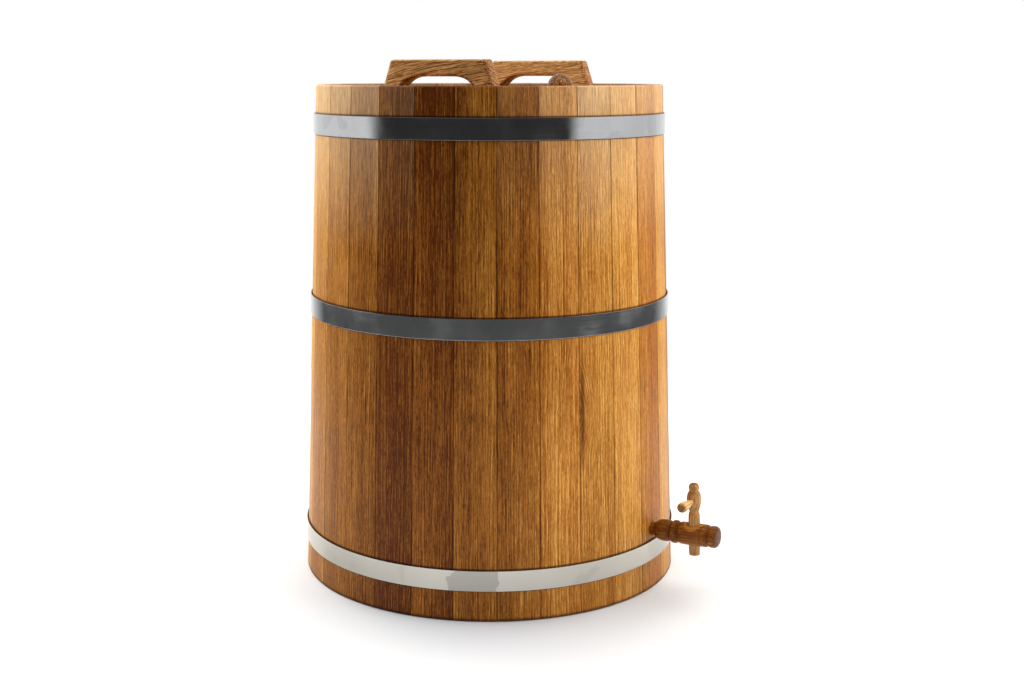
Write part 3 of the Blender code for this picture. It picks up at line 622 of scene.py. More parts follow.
# %% A stave's sizes and helpers
BASE_RADIUS, TOP_RADIUS, BODY_HEIGHT = 0.2425, 0.2175, 0.620
STAVE_THICKNESS, STAVE_COUNT, JOINT_GAP = 0.022, 29, 0.0003
STAVE_ANGLE = 2 * math.pi / STAVE_COUNT
STAVE_STEPS = 8
WALL_SLOPE = math.atan((BASE_RADIUS - TOP_RADIUS) / BODY_HEIGHT)
WALL_LINE = (0, math.sin(WALL_SLOPE), math.cos(WALL_SLOPE))


def wall_radius(height):
    return BASE_RADIUS + (TOP_RADIUS - BASE_RADIUS) * height / BODY_HEIGHT


def edges_where(mesh, chosen):
    """Selects the edges whose two ends both pass a test, for the next edit mode operator."""
    for part in (mesh.vertices, mesh.edges, mesh.polygons):
        part.foreach_set("select", [False] * len(part))
    for edge in mesh.edges:
        edge.select = bool(chosen(*(mesh.vertices[index].co for index in edge.vertices)))
        for index in edge.vertices:
            if edge.select:
                mesh.vertices[index].select = True


def plane_section(name, inner, outer, foot, top):
    """An upright rectangle that faces sideways, in front of the axis, ready to be spun."""
    clear_selection()
    bpy.ops.mesh.primitive_plane_add(size=1, location=(0, -(inner + outer) / 2, (foot + top) / 2))
    piece = bpy.context.object
    piece.name = name
    piece.rotation_euler = (0, math.pi / 2, 0)
    piece.scale = (top - foot, outer - inner, 1)
    bpy.ops.object.transform_apply(location=True, rotation=True, scale=True)
    return piece


print("the wall leans in by", round(math.degrees(WALL_SLOPE), 2), "degrees")

# %% [markdown]
# The ledge for the lid and the groove for the bottom head are cut with two discs, as a cooper's plane
# would cut them. They could be steps of the section, but a cut keeps them level on a leaning plank.
# The rim is rounded, and the long edges are broken a little, so that a fine line shows between one
# stave and the next.

# %% One stave
LEDGE_HEIGHT, ABOVE_RIM, REBATE_RADIUS = 0.5847, 0.7, 0.20542
GROOVE_FOOT, GROOVE_TOP, GROOVE_RADIUS = 0.0357, 0.0563, 0.22605
RIM_ROUND, JOINT_EDGE = 0.0022, 0.0006


def build_stave():
    stave = plane_section("stave", BASE_RADIUS - STAVE_THICKNESS, BASE_RADIUS, 0, BODY_HEIGHT)
    edges_where(stave.data, lambda a, b: min(a.z, b.z) > BODY_HEIGHT - 0.001)
    bpy.ops.object.mode_set(mode="EDIT")
    bpy.ops.mesh.select_mode(type="EDGE")
    bpy.ops.transform.translate(value=(0, BASE_RADIUS - TOP_RADIUS, 0))
    bpy.ops.mesh.select_all(action="SELECT")
    angle = STAVE_ANGLE - JOINT_GAP / TOP_RADIUS
    bpy.ops.mesh.spin(steps=STAVE_STEPS, angle=angle, center=(0, 0, 0), axis=(0, 0, 1))
    bpy.ops.mesh.select_all(action="SELECT")
    bpy.ops.mesh.remove_doubles(threshold=0.00001)
    bpy.ops.mesh.normals_make_consistent(inside=False)
    bpy.ops.object.mode_set(mode="OBJECT")
    centre = sum((vertex.co for vertex in stave.data.vertices), Vector()) / len(stave.data.vertices)
    stave.rotation_euler = (0, 0, -math.atan2(centre.x, -centre.y))
    bpy.ops.object.transform_apply(rotation=True)
    for radius, foot, top in (
        (REBATE_RADIUS, LEDGE_HEIGHT, ABOVE_RIM),
        (GROOVE_RADIUS, GROOVE_FOOT, GROOVE_TOP),
    ):
        bpy.ops.mesh.primitive_cylinder_add(
            vertices=STAVE_COUNT * STAVE_STEPS,
            radius=radius,
            depth=top - foot,
            location=(0, 0, (foot + top) / 2),
        )
        cut_away(stave, bpy.context.object)

    def along_rim(a, b):
        return min(a.z, b.z) > BODY_HEIGHT - 0.0001 and abs(a.xy.length - b.xy.length) < 0.001

    edges_where(stave.data, along_rim)
    bpy.ops.object.mode_set(mode="EDIT")
    bpy.ops.mesh.bevel(offset=RIM_ROUND, segments=3)
    bpy.ops.object.mode_set(mode="OBJECT")
    break_edges(stave, JOINT_EDGE, 42)
    return stave


master_stave = build_stave()
print("a stave has", len(master_stave.data.polygons), "faces")

# %% [markdown]
# The staves come from different planks, so no two have quite the same colour. Each could be matched by
# a material of its own, but five numbers say as much: how light a stave is, how much lighter towards
# its right edge, how red, how much painted light makes it lighter or darker towards its top, and how
# much painted sheen it has. They go round from the tap, and staves that the photograph doesn't show
# take theirs from slow and fast waves.

# %% Colours of the staves
STAVE_TONES = {
    "tap_stave": (0.09, 0.0, 0.25, 0.04, 0.6),
    "stave_02": (0.17, 0.0, 0.0, 0.06, 0.6),
    "stave_19": (0.32, 0.0, 0.0, 0.10, 0.85),
    "stave_20": (0.20, 0.0, 0.0, 0.18, 1.0),
    "stave_21": (-0.01, 0.0, 0.05, 0.18, 1.0),
    "stave_22": (-0.17, 0.0, 0.05, 0.08, 0.7),
    "stave_23": (-0.39, -0.06, 0.20, -0.03, 0.15),
    "stave_24": (-0.34, -0.10, 0.25, -0.08, 0.0),
    "stave_25": (-0.15, 0.03, 0.0, -0.06, 0.0),
    "stave_26": (-0.12, 0.05, 0.10, 0.02, 0.1),
    "stave_27": (0.12, 0.05, 0.20, 0.04, 0.4),
    "stave_28": (0.13, 0.0, 0.0, 0.09, 0.9),
    "stave_29": (0.24, 0.0, 0.0, 0.04, 0.75),
}
END_GRAIN_SHADE, INNER_RIM_PAINTED_SHADE = -0.35, -0.5


def tones_of(node, index):
    tone, lean, red = (math.sin(index * speed) for speed in (2.4, 5.1, 3.7))
    return STAVE_TONES.get(node, (0.12 * tone, 0.07 * lean, 0.16 + 0.08 * red, 0.06, 0.5))


def note_plank(stave, tone, lean, rise, painted_sheen):
    """Notes a stave's tones, with dark ends, painted light towards its top, the place of its edges, and its
    painted sheen.
    """
    across = [math.atan2(vertex.co.x, -vertex.co.y) / (STAVE_ANGLE / 2) for vertex in stave.data.vertices]
    tones = []
    for vertex, u in zip(stave.data.vertices, across):
        height = vertex.co.z
        on_end = height < 0.0003 or height > BODY_HEIGHT - 0.0003
        # rise is painted light: the stave is noted lighter or darker towards its top, where the light falls
        # more or less
        level = tone + lean * u + rise * (2 * height / BODY_HEIGHT - 1)
        tones.append(level + (END_GRAIN_SHADE if on_end else 0))
    note(stave, "tone", tones)
    note(stave, "edge", across)
    note(stave, "painted_sheen", [painted_sheen] * len(across))


# %% [markdown]
# Now the stave is copied twenty-nine times, each copy with its own mesh. An array modifier could do
# that, but then the tap's stave couldn't have its hole, nor each stave its own notes. Each copy is
# moved to its part of the log and turned to its place. The inside of the rim is noted darker, a painted
# shade, as the photograph shows it above the sunken lid.

# %% All staves
TAP_HEIGHT = 0.0765


def drill_tap_hole(stave):
    """The hole for the tap's tapered tail, square to the sloping wall and a little wider than the tail."""
    tail, neck, length, play = 0.0072, 0.00825, 0.040, 0.0003
    narrow = neck + (tail - neck) * 0.03 / length + play
    drill = turn_piece("tap_drill", [(narrow, -0.03), (neck + play, 0.0), (neck + play, 0.006)])
    drill.rotation_euler = (math.pi / 2 - WALL_SLOPE, 0, 0)
    drill.location = (0, -wall_radius(TAP_HEIGHT), TAP_HEIGHT)
    cut_away(stave, drill)


def inside_rim(vertex):
    return vertex.co.z > BODY_HEIGHT - 0.04 and vertex.normal.y > 0.55


def place_stave(index):
    node = f"stave_{index + 1:02d}" if index else "tap_stave"
    stave = master_stave.copy()
    stave.data = master_stave.data.copy()
    stave.name = node + "_oak"
    bpy.context.scene.collection.objects.link(stave)
    if index == 0:
        drill_tap_hole(stave)
    tone, lean, red, rise, painted_sheen = tones_of(node, index)
    lay_grain(stave, along=WALL_LINE, shift=place_in_log(index), red=red)
    note_plank(stave, tone, lean, rise, painted_sheen)
    # painted shade: the inside of the rim is noted darker
    shade_where(stave, inside_rim, INNER_RIM_PAINTED_SHADE)
    stave.rotation_euler = (0, 0, index * STAVE_ANGLE)
    stave.location = AXIS
    return finish_piece(stave, STAVE_OAK, "barrel", node)


staves = [place_stave(index) for index in range(STAVE_COUNT)]
bpy.data.objects.remove(master_stave)
print("placed", len(staves), "staves")

# %% [markdown]
# The hoops are strips of galvanised steel. A grey could be painted, but steel has hardly a colour of
# its own: what shows is the room, blurred by how rough the strip is. So the finish is a metal whose
# roughness is smudged in patches, with fine lines from the rollers running round it and a few
# scratches. The lowest hoop has one large dull spot on its front, with a ragged edge.

# %% Steel finish
SCRATCH = (0.85, 0.86, 0.88)
SPOT_RADIUS, SPOT_EDGE, SPOT_RAGGED = 0.0290, 0.0305, 0.016


def steel(name, roughness, tint, dull_spot=None):
    material, shader = new_material(name)
    places = add_node(material, "TexCoord").outputs["Object"]
    rolled = streaks(material, places, 5, 1300, 2.0, 0.6)
    scratch = streaks(material, places, 150, 900, 3.0, 0.7, 0.8)
    smudge = streaks(material, places, 26, 26, 4.0, 0.6)
    cloud = streaks(material, places, 7, 7, 1.0)
    patch = streaks(material, places, 17, 17, 2.0, 0.5, 0.6)
    worn = widen(material, smudge, 0.40, 0.68, -0.02, 0.10)
    gloss = maths(
        material, "ADD", worn, widen(material, rolled, 0.3, 0.7, roughness - 0.02, roughness + 0.03)
    )
    duller, dullest = ([value * share for value in tint] for share in (0.80, 0.70))
    colour = blend_colours(material, widen(material, cloud, 0.38, 0.62), tint, duller)
    smear = widen(material, patch, 0.55, 0.59, 0.0, 0.35)
    if dull_spot:
        away = vector_maths(material, "DISTANCE", places, dull_spot)
        away = maths(material, "ADD", away, widen(material, smudge, 0.3, 0.7, -SPOT_RAGGED, SPOT_RAGGED))
        smear = maths(material, "MAXIMUM", smear, widen(material, away, SPOT_EDGE, SPOT_RADIUS, 0.0, 1.0))
    colour = blend_colours(material, smear, colour, dullest)
    colour = blend_colours(material, widen(material, scratch, 0.70, 0.76, 0.0, 0.3), colour, SCRATCH)
    relief = add_node(material, "Bump", {"Height": rolled, "Strength": 0.12, "Distance": 0.0002})
    surface = {"Base Color": colour, "Roughness": gloss, "Normal": relief.outputs[0], "Metallic": 1.0}
    set_inputs(material, shader, surface)
    return material


HOOP_STEEL = steel("hoop_steel", 0.09, (0.63, 0.64, 0.65))
DULL_SPOT = AXIS + (TOWARDS_CAMERA - TO_THE_RIGHT * 0.07).normalized() * 0.241 + Vector((0, 0, 0.048))
LOW_HOOP_STEEL = steel("low_hoop_steel", 0.12, (0.49, 0.475, 0.43), DULL_SPOT)
print("made", HOOP_STEEL.name, "and", LOW_HOOP_STEEL.name)

# %% [markdown]
# A hoop is a strip bent round once, until its end lies over its start at the back, where two rivets
# hold it. A closed ring would be simpler, but the lap can be seen from behind. So the strip's section
# is spun through almost a full turn, moved out by one thickness, and spun on for the overlap.

# %% Hoops
HOOP_THICKNESS, HOOP_CLEARANCE = 0.001, 0.0003
FLAT = 2 * math.pi / 87
LAP_START = 41.5 * FLAT


def build_hoop(where):
    foot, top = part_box(f"hoop_{where}")[0].z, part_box(f"hoop_{where}")[1].z
    radius = wall_radius(foot) + HOOP_CLEARANCE
    hoop = plane_section(f"hoop_{where}_band", radius, radius + HOOP_THICKNESS, foot, top)
    hoop.rotation_euler = (0, 0, LAP_START)
    bpy.ops.object.transform_apply(rotation=True)
    bpy.ops.object.mode_set(mode="EDIT")
    bpy.ops.mesh.select_all(action="SELECT")
    bpy.ops.mesh.spin(steps=172, angle=86 * FLAT, center=(0, 0, 0), axis=(0, 0, 1))
    bpy.ops.mesh.spin(steps=1, angle=FLAT, center=(0, 0, 0), axis=(0, 0, 1))
    outwards = Vector((math.sin(LAP_START), -math.cos(LAP_START), 0))
    bpy.ops.transform.translate(value=outwards * (HOOP_THICKNESS + HOOP_CLEARANCE))
    bpy.ops.mesh.spin(steps=6, angle=3 * FLAT, center=(0, 0, 0), axis=(0, 0, 1))
    bpy.ops.mesh.select_all(action="SELECT")
    bpy.ops.mesh.remove_doubles(threshold=0.00001)
    bpy.ops.mesh.normals_make_consistent(inside=False)
    bpy.ops.object.mode_set(mode="OBJECT")
    break_edges(hoop, 0.0003, 50)
    hoop.location = AXIS
    finish = LOW_HOOP_STEEL if where == "bottom" else HOOP_STEEL
    finish_piece(hoop, finish, "barrel", f"hoop_{where}")
    print(hoop.name, "radius", round(radius, 4), "faces", len(hoop.data.polygons))


for where in ("bottom", "middle", "top"):
    build_hoop(where)

# %% [markdown]
# A rivet's head is a small dome, hammered flat, on a short shank. A squashed ball could stand for it,
# but it would have no shank under it, so it is turned like the other round pieces. Two of them sit
# side by side on a hoop's overlap, square to the wall.

# %% Rivets
RIVET_STEEL = steel("rivet_steel", 0.30, (0.60, 0.60, 0.61))
HEAD_RADIUS, HEAD_RISE = 0.0040, 0.0020
SHANK_RADIUS, SHANK_DEPTH = 0.0019, 0.0022


def build_rivets(where):
    foot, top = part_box(f"hoop_{where}")[0].z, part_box(f"hoop_{where}")[1].z
    outside = wall_radius(foot) + 2 * (HOOP_CLEARANCE + HOOP_THICKNESS)
    dome = [(HEAD_RADIUS * math.cos(a), HEAD_RISE * math.sin(a)) for a in (0, 0.35, 0.7, 1.05, 1.35, 1.52)]
    for number in (1, 2):
        angle = (42 + 2 * (number - 1)) * FLAT
        profile = [(SHANK_RADIUS, -SHANK_DEPTH), (SHANK_RADIUS, 0.0), *dome]
        rivet = turn_piece(f"{where}_rivet_{number}_dome", profile, 32)
        rivet.rotation_euler = (math.pi / 2, 0, angle)
        middle = Vector((outside * math.sin(angle), -outside * math.cos(angle), (foot + top) / 2))
        rivet.location = AXIS + middle
        finish_piece(rivet, RIVET_STEEL, "barrel", f"{where}_rivet_{number}")


for where in ("bottom", "middle", "top"):
    build_rivets(where)
print("rivets set in three hoops")

# %% [markdown]
# The lid is one round panel sawn into five boards that run from side to side. Boards drawn one by one
# would hardly meet in a true circle, so it is made as a joiner does: a disc, then two straight cuts
# for each board. The boards' edges are broken a little, and one of them has the bung's hole.

# %% Lid boards
LID_OAK = wood("lid_oak", OAK, 800, 0.012, 0.3, 0.45, 1.1, 0.06)
BOARD_TONES = (0.06, -0.10, 0.13, -0.04, 0.08)
BUNG_SPOT = AXIS + Vector((0, -0.102, 0))
BUNG_HOLE = ((0.0072, -0.03), (0.0083, 0.0), (0.0096, 0.002))
lid_low, lid_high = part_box("lid_board_3")
LID_TOP, LID_FOOT, LID_RADIUS = lid_high.z, lid_low.z, AXIS.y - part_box("lid_board_1")[0].y


def build_lid_board(number):
    board_low, board_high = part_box(f"lid_board_{number}")
    clear_selection()
    middle = (LID_TOP + LID_FOOT) / 2
    bpy.ops.mesh.primitive_cylinder_add(
        vertices=174, radius=LID_RADIUS, depth=LID_TOP - LID_FOOT, location=(0, AXIS.y, middle)
    )
    board = bpy.context.object
    board.name = f"lid_board_{number}_oak"
    bpy.ops.object.transform_apply(location=True)
    bpy.ops.object.mode_set(mode="EDIT")
    cuts = []
    if number > 1:
        cuts.append((board_low.y, -1))
    if number < 5:
        cuts.append((board_high.y, 1))
    for place, side in cuts:
        bpy.ops.mesh.select_all(action="SELECT")
        bpy.ops.mesh.bisect(plane_co=(0, place, 0), plane_no=(0, side, 0), use_fill=True, clear_outer=True)
    bpy.ops.object.mode_set(mode="OBJECT")
    if number == 2:
        hole = turn_piece("bung_hole", BUNG_HOLE, 48)
        hole.location = BUNG_SPOT + Vector((0, 0, LID_TOP))
        cut_away(board, hole)
    break_edges(board, 0.0008, 50)
    shift, tone = (number * 0.31, 0.2, number * 0.7), BOARD_TONES[number - 1]
    lay_grain(board, along=(1, 0, 0), shift=shift, tone=tone, red=0.12)
    width = board_high.y - board_low.y
    note(board, "edge", [2 * (vertex.co.y - board_low.y) / width - 1 for vertex in board.data.vertices])
    return finish_piece(board, LID_OAK, "lid", f"lid_board_{number}")


lid_boards = [build_lid_board(number) for number in range(1, 6)]
print("lid of", len(lid_boards), "boards, radius", round(LID_RADIUS, 4))

# %% [markdown]
# Each handle has an arched gap for the fingers. The arch could be modelled face by face, but its
# smooth shoulders are quicker to draw as a curve. The curve is given depth, made a mesh and stood up,
# and the next step cuts it out of the handle.

# %% Finger arch
ARCH_TOP, ARCH_FOOT, GRIP = 0.045 / 2, 0.111 / 2, 0.020


def arch_cutter(height, depth):
    """The hole for the fingers, standing in the plane of X and Z at the middle of the block."""
    crown = height - GRIP
    spread = ARCH_FOOT - ARCH_TOP
    bpy.ops.curve.primitive_bezier_curve_add()
    curve = bpy.context.object
    curve.data.dimensions = "2D"
    curve.data.fill_mode = "BOTH"
    curve.data.extrude = depth
    curve.data.resolution_u = 16
    spline = curve.data.splines[0]
    spline.bezier_points.add(4)
    right = [
        ((ARCH_FOOT, -0.01), (ARCH_FOOT, -0.01), (ARCH_FOOT, -0.01)),
        ((ARCH_FOOT, 0.0), (ARCH_FOOT, 0.0), (ARCH_FOOT - 0.06 * spread, 0.54 * crown)),
        ((ARCH_TOP, crown), (ARCH_TOP + 0.62 * spread, crown), (ARCH_TOP, crown)),
    ]
    left = [tuple((-x, y) for x, y in (point, after, before)) for point, before, after in reversed(right)]
    for bezier, (point, before, after) in zip(spline.bezier_points, right + left):
        bezier.handle_left_type = bezier.handle_right_type = "FREE"
        bezier.co, bezier.handle_left, bezier.handle_right = ((x, y, 0) for x, y in (point, before, after))
    spline.use_cyclic_u = True
    bpy.ops.object.convert(target="MESH")
    cutter = bpy.context.object
    cutter.rotation_euler = (math.pi / 2, 0, 0)
    bpy.ops.object.transform_apply(rotation=True)
    return cutter


# %% [markdown]
# A handle is a short thick bar whose ends slope. It starts as a block whose top is drawn in, which is
# simpler than cutting two wedges off. The arch is cut away, and then the edges are rounded over,
# widest at the corners and along the arch, where a hand goes. The sloping ends are end grain, darker
# and redder than the sides, and the inside of the arch is painted darker still, as shade.

# %% Handles
HANDLE_SHADES = ((0.10, 0.042, 0.012), (0.48, 0.26, 0.09), (0.80, 0.52, 0.22))
HANDLE_OAK = wood("handle_oak", HANDLE_SHADES, 900, 0.040, 0.35, 0.42, 2.1, 0.1)
HANDLE_TOP_LENGTH = 0.136
ARCH_ROUND, CORNER_ROUND, TOP_ROUND = 0.0048, 0.0058, 0.0026
HANDLE_END_SHADE, HANDLE_END_RED, ARCH_PAINTED_SHADE = -0.26, 0.45, -0.6
HANDLE_NOTES = {"left": ((0.2, 0.1, 0.4), 0.03), "right": ((1.3, 0.1, 0.4), 0.08)}


def handle_block(name, length, thickness, height):
    """A block as long as the handle's foot, with its top drawn in, so that both ends slope."""
    clear_selection()
    bpy.ops.mesh.primitive_cube_add(size=1, location=(0, 0, height / 2))
    block = bpy.context.object
    block.name = name
    block.scale = (length, thickness, height)
    bpy.ops.object.transform_apply(location=True, scale=True)
    edges_where(block.data, lambda a, b: min(a.z, b.z) > height - 0.001)
    bpy.ops.object.mode_set(mode="EDIT")
    bpy.ops.mesh.select_mode(type="EDGE")
    bpy.ops.transform.resize(value=(HANDLE_TOP_LENGTH / length, 1, 1))
    bpy.ops.object.mode_set(mode="OBJECT")
    clear_selection()
    return block


def round_handle(handle, thickness, height):
    face, near = thickness / 2 - 0.0001, 0.0005

    def on_arch(a, b):
        beside = min(abs(a.y), abs(b.y)) > face and max(abs(a.x), abs(b.x)) < ARCH_FOOT + near
        return beside and near < max(a.z, b.z) < height - GRIP + near

    def on_corner(a, b):
        return max(a.z, b.z) > height - near and min(a.z, b.z) < near

    def on_top(a, b):
        return min(a.z, b.z) > height - near

    for chosen, width in ((on_arch, ARCH_ROUND), (on_corner, CORNER_ROUND), (on_top, TOP_ROUND)):
        edges_where(handle.data, chosen)
        bpy.ops.object.mode_set(mode="EDIT")
        bpy.ops.mesh.bevel(offset=width, segments=5)
        bpy.ops.object.mode_set(mode="OBJECT")


def on_handle_end(vertex):
    return abs(vertex.co.x) > ARCH_FOOT + 0.002 and abs(vertex.normal.x) > 0.45


def inside_arch(vertex):
    return abs(vertex.co.x) < ARCH_FOOT + 0.002 and abs(vertex.normal.x) > 0.2


def build_handle(side):
    low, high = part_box(f"handle_{side}")
    thickness, length, height = high - low
    handle = handle_block(f"handle_{side}_oak", length, thickness, height)
    cut_away(handle, arch_cutter(height, thickness))
    round_handle(handle, thickness, height)
    shift, tone = HANDLE_NOTES[side]
    lay_grain(handle, along=(1, 0, -0.15), shift=shift, tone=tone, end=0.05)
    shade_where(handle, on_handle_end, HANDLE_END_SHADE)
    shade_where(handle, on_handle_end, HANDLE_END_RED, "red")
    # painted shade: the inside of the arch is noted darker
    shade_where(handle, inside_arch, ARCH_PAINTED_SHADE)
    handle.rotation_euler = (0, 0, math.pi / 2)
    handle.location = ((low.x + high.x) / 2, (low.y + high.y) / 2, low.z)
    return finish_piece(handle, HANDLE_OAK, "lid", f"handle_{side}")


handles = [build_handle(side) for side in ("left", "right")]
print("handles:", [len(handle.data.polygons) for handle in handles], "faces")

# %% [markdown]
# The bung is a ball on a tapered stem, turned from one piece. A ball and a cone could be joined, but
# one profile leaves no seam between them. Its fibres run across, towards the front, so the wood's
# rings show as circles on the side that we see.

# %% Bung
BUNG_SHADES = ((0.035, 0.010, 0.002), (0.15, 0.058, 0.014), (0.48, 0.24, 0.080))
BUNG_WOOD = wood("bung_wood", BUNG_SHADES, 480, 0.002, 0.1, 0.25, 1.5, 0.3)


def build_bung():
    ball, neck = 0.0152, 0.0080
    start = math.asin(neck / ball)
    centre = ball * math.cos(start) + 0.0003
    steps = 26
    angles = [start + (math.pi - start - 0.03) * step / steps for step in range(steps + 1)]
    profile = [(0.0063, -0.0240), (0.0072, -0.0231), (neck, 0.0)]
    profile += [(ball * math.sin(a), centre - ball * math.cos(a)) for a in angles[1:]]
    bung = turn_piece("bung_ball", profile)
    lay_grain(bung, along=(-0.85, -0.45, 0.35), middle=(0, 0, 0.014), shift=(0.003, 0.002, 0.3))
    bung.location = BUNG_SPOT + Vector((0, 0, LID_TOP))
    return finish_piece(bung, BUNG_WOOD, "bung", "bung")


bung = build_bung()
print("bung top at", round(max(v.co.z for v in bung.data.vertices), 4))

# %% [markdown]
# The tap was turned too, from darker wood under a clear lacquer. Its tail goes through the stave, then
# come a neck, a bulge, a bead, the barrel that holds the key, and a domed knob. A few rings and a
# subdivision could stand for the profile, but close rings keep its beads crisp. It stands square to
# the sloping wall, and two drills cut the key's hole and the channel.

# %% Tap body
KEY_STATION = 0.057
TAP_SEAT = AXIS + Vector((0, -wall_radius(TAP_HEIGHT), TAP_HEIGHT))
TAP_DIRECTION = Vector((0, -math.cos(WALL_SLOPE), math.sin(WALL_SLOPE)))
KEY_DIRECTION = Vector(WALL_LINE)
KEY_PIVOT = TAP_SEAT + TAP_DIRECTION * KEY_STATION
KEY_HOLE = ((0.0070, -0.016), (0.0075, 0.0106), (0.0125, 0.0156))
CHANNEL = ((0.0045, -0.045), (0.0045, 0.050))
TAP_SHADES = ((0.036, 0.008, 0.001), (0.175, 0.053, 0.005), (0.46, 0.18, 0.030))
TAP_WOOD = wood("tap_wood", TAP_SHADES, 900, 0.004, 0.15, 0.34, 1.1, 0.08)
TAP_PROFILE = (
    (0.0061, -0.0400), (0.0070, -0.0396), (0.0072, -0.0389), (0.00825, 0.0), (0.00825, 0.0050),
    (0.0084, 0.0058), (0.0093, 0.0066), (0.0108, 0.0082), (0.0121, 0.0101), (0.0130, 0.0132),
    (0.0135, 0.0172), (0.0136, 0.0205), (0.0133, 0.0235), (0.0127, 0.0252), (0.0115, 0.0262),
    (0.0113, 0.0270), (0.0119, 0.0277), (0.0133, 0.0288), (0.0143, 0.0305), (0.0144, 0.0325),
    (0.0141, 0.0345), (0.0131, 0.0360), (0.0118, 0.0368), (0.0118, 0.0376), (0.0126, 0.0384),
    (0.0135, 0.0398), (0.0140, 0.0425), (0.0140, 0.0470), (0.0140, 0.0570), (0.0140, 0.0670),
    (0.0140, 0.0680), (0.0134, 0.0684), (0.0134, 0.0690), (0.0140, 0.0694), (0.0140, 0.0705),
    (0.0140, 0.0728), (0.0136, 0.0748), (0.0126, 0.0762), (0.0117, 0.0768), (0.0117, 0.0776),
    (0.0127, 0.0785), (0.0134, 0.0800), (0.0136, 0.0822), (0.0134, 0.0848), (0.0127, 0.0866),
    (0.0112, 0.0879), (0.0085, 0.0886), (0.0045, 0.08895), (0.0010, 0.0890),
)


def painted_highlight_round_key_hole(vertex):
    return vertex.co.y > 0 and 0.0085 < math.hypot(vertex.co.x, vertex.co.z - KEY_STATION) < 0.0125


def build_tap_body():
    body = turn_piece("tap_body_turned", TAP_PROFILE, 64, 1)
    for drill, turn, station in (
        (turn_piece("key_hole", KEY_HOLE), -math.pi / 2, KEY_STATION),
        (turn_piece("channel", CHANNEL, 32), 0, 0),
    ):
        drill.rotation_euler = (turn, 0, 0)
        drill.location = (0, 0, station)
        cut_away(body, drill)
    lay_grain(body, shift=(0.02, 0.013, 0.5), end=0.3)
    # painted highlight: the rim round the key's hole is noted paler
    shade_where(body, painted_highlight_round_key_hole, 0.5)
    body.rotation_euler = (math.pi / 2 - WALL_SLOPE, 0, 0)
    body.location = TAP_SEAT
    return finish_piece(body, TAP_WOOD, "barrel", "tap_body", 35)


tap_body = build_tap_body()
print("tap body faces:", len(tap_body.data.polygons))

# %% [markdown]
# The key turns in the tap. One piece of lighter wood makes its ball, vase, waist, plug and spout, so
# one profile does too. It is bored from the spout's end up to a side hole, which lets the drink in
# when the lever is turned to the front.

# %% Key
KEY_SHADES = ((0.15, 0.062, 0.018), (0.49, 0.26, 0.085), (0.78, 0.52, 0.23))
KEY_WOOD = wood("key_wood", KEY_SHADES, 900, 0.006, 0.15, 0.38, 1.0, 0.15)
KEY_PROFILE = (
    (0.0053, -0.0262), (0.0063, -0.0258), (0.0067, -0.0248), (0.0069, -0.012), (0.0070, 0.0),
    (0.0072, 0.014), (0.0072, 0.0240), (0.0068, 0.0262), (0.0060, 0.0282), (0.0056, 0.0292),
    (0.0059, 0.0304), (0.0067, 0.0325), (0.0076, 0.0355), (0.0084, 0.0390), (0.0089, 0.0430),
    (0.0089, 0.0460), (0.0086, 0.0490), (0.0079, 0.0520), (0.0068, 0.0540), (0.0056, 0.0548),
    (0.0054, 0.0553), (0.0058, 0.0562), (0.0063, 0.0576), (0.0065, 0.0592), (0.0063, 0.0610),
    (0.0057, 0.0626), (0.0047, 0.0639), (0.0032, 0.0648), (0.0012, 0.0652),
)
BORE_RADIUS = 0.0036


def build_key():
    key = turn_piece("tap_key_turned", KEY_PROFILE, 48, 1)
    for name, turn, start, end in (("spout_bore", 0, -0.030, 0.001), ("inlet", math.pi / 2, 0.0, 0.010)):
        bore = turn_piece(name, [(BORE_RADIUS, start), (BORE_RADIUS, end)], 32)
        bore.rotation_euler = (0, turn, 0)
        cut_away(key, bore)
    lay_grain(key, shift=(0.05, 0.02, 0.9), tone=0.05, end=0.3)
    key.rotation_euler = (-WALL_SLOPE, 0, 0)
    key.location = KEY_PIVOT
    return finish_piece(key, KEY_WOOD, "tap_key", "tap_key", 35)


key = build_key()
print("key faces:", len(key.data.polygons))

# %% [markdown]
# The lever is a little club of pale wood on a round tenon, set crosswise into the vase. It could be
# part of the key's mesh, but it is a piece of its own on the real tap too. Its end shows dark end
# grain: the note on tone falls wherever the surface turns across the fibres.

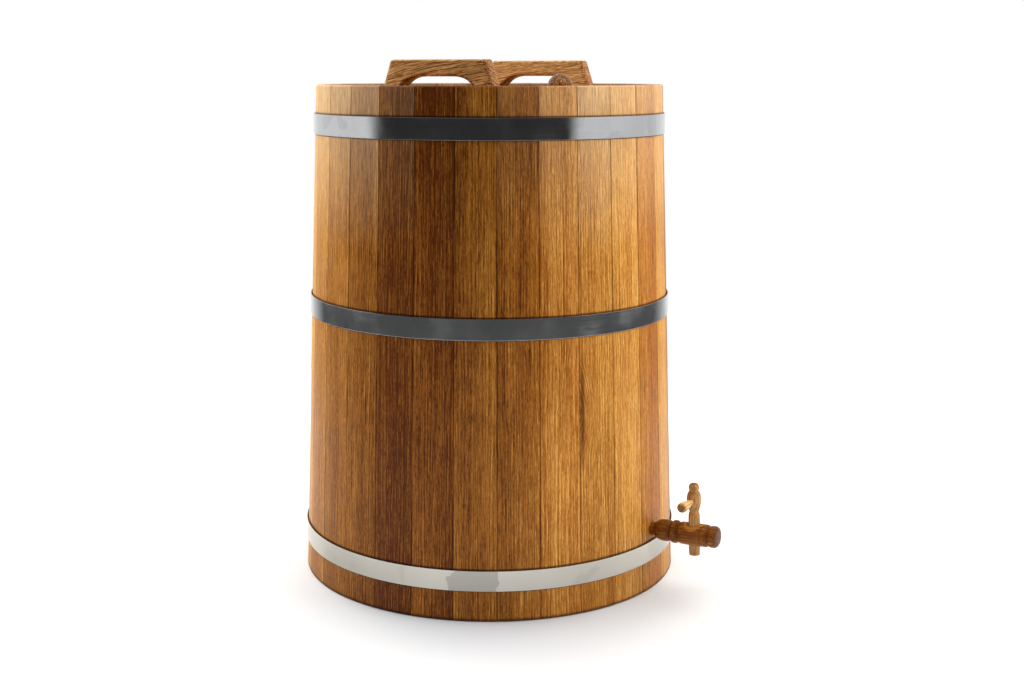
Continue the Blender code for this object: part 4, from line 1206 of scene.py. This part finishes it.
# %% Lever
LEVER_SHADES = ((0.20, 0.09, 0.02), (0.70, 0.45, 0.18), (0.92, 0.72, 0.42))
LEVER_WOOD = wood("lever_wood", LEVER_SHADES, 1000, 0.004, 0.1, 0.40, 0.9, 0.1)
LEVER_STATION = 0.043
LEVER_PROFILE = (
    (0.00255, 0.0026), (0.00265, 0.0040), (0.0027, 0.0085), (0.0033, 0.0125), (0.0043, 0.0170),
    (0.0051, 0.0215), (0.0057, 0.0255), (0.0061, 0.0295), (0.0063, 0.0330), (0.0062, 0.0355),
    (0.0057, 0.0375), (0.0047, 0.0388), (0.0030, 0.0394), (0.0008, 0.0395),
)


def build_lever():
    lever = turn_piece("tap_lever_turned", LEVER_PROFILE, 40, 1)
    lay_grain(lever, shift=(0.03, 0.04, 0.2), end=0.5)
    sideways = Matrix.Rotation(-WALL_SLOPE, 4, "X") @ Matrix.Rotation(-math.pi / 2, 4, "Y")
    lever.rotation_euler = sideways.to_euler()
    lever.location = KEY_PIVOT + KEY_DIRECTION * LEVER_STATION
    return finish_piece(lever, LEVER_WOOD, "tap_key", "tap_lever")


lever = build_lever()
print("lever faces:", len(lever.data.polygons))

# %% [markdown]
# What lies inside keeps the model's own shape and only gets a finish: the bottom head's boards and the
# lid's battens in bare oak, and the screws in zinc. They could be modelled again, but they are hidden
# and their shapes are right. They carry no notes, so their patterns read the object's own places,
# turned to run along each board.

# %% Inner pieces
BARE_SHADES = ((0.22, 0.10, 0.03), (0.46, 0.25, 0.09), (0.72, 0.46, 0.21))
BARE_OAK = wood("bare_oak", BARE_SHADES, 800, 0.012, 0.4, 0.62, turn=(0, math.pi / 2, 0))
BATTEN_OAK = wood("batten_oak", BARE_SHADES, 800, 0.012, 0.4, 0.58, turn=(math.pi / 2, 0, 0))
SCREW_ZINC = steel("screw_zinc", 0.28, (0.66, 0.66, 0.64))


def refinish(prefix, material):
    found = [node for name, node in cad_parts.items() if name.startswith(prefix)]
    for node in found:
        node.material_slots[0].material = material
    print(prefix, "x", len(found), "now", material.name)


refinish("head_board", BARE_OAK)
refinish("lid_batten", BATTEN_OAK)
refinish("lid_screw", SCREW_ZINC)
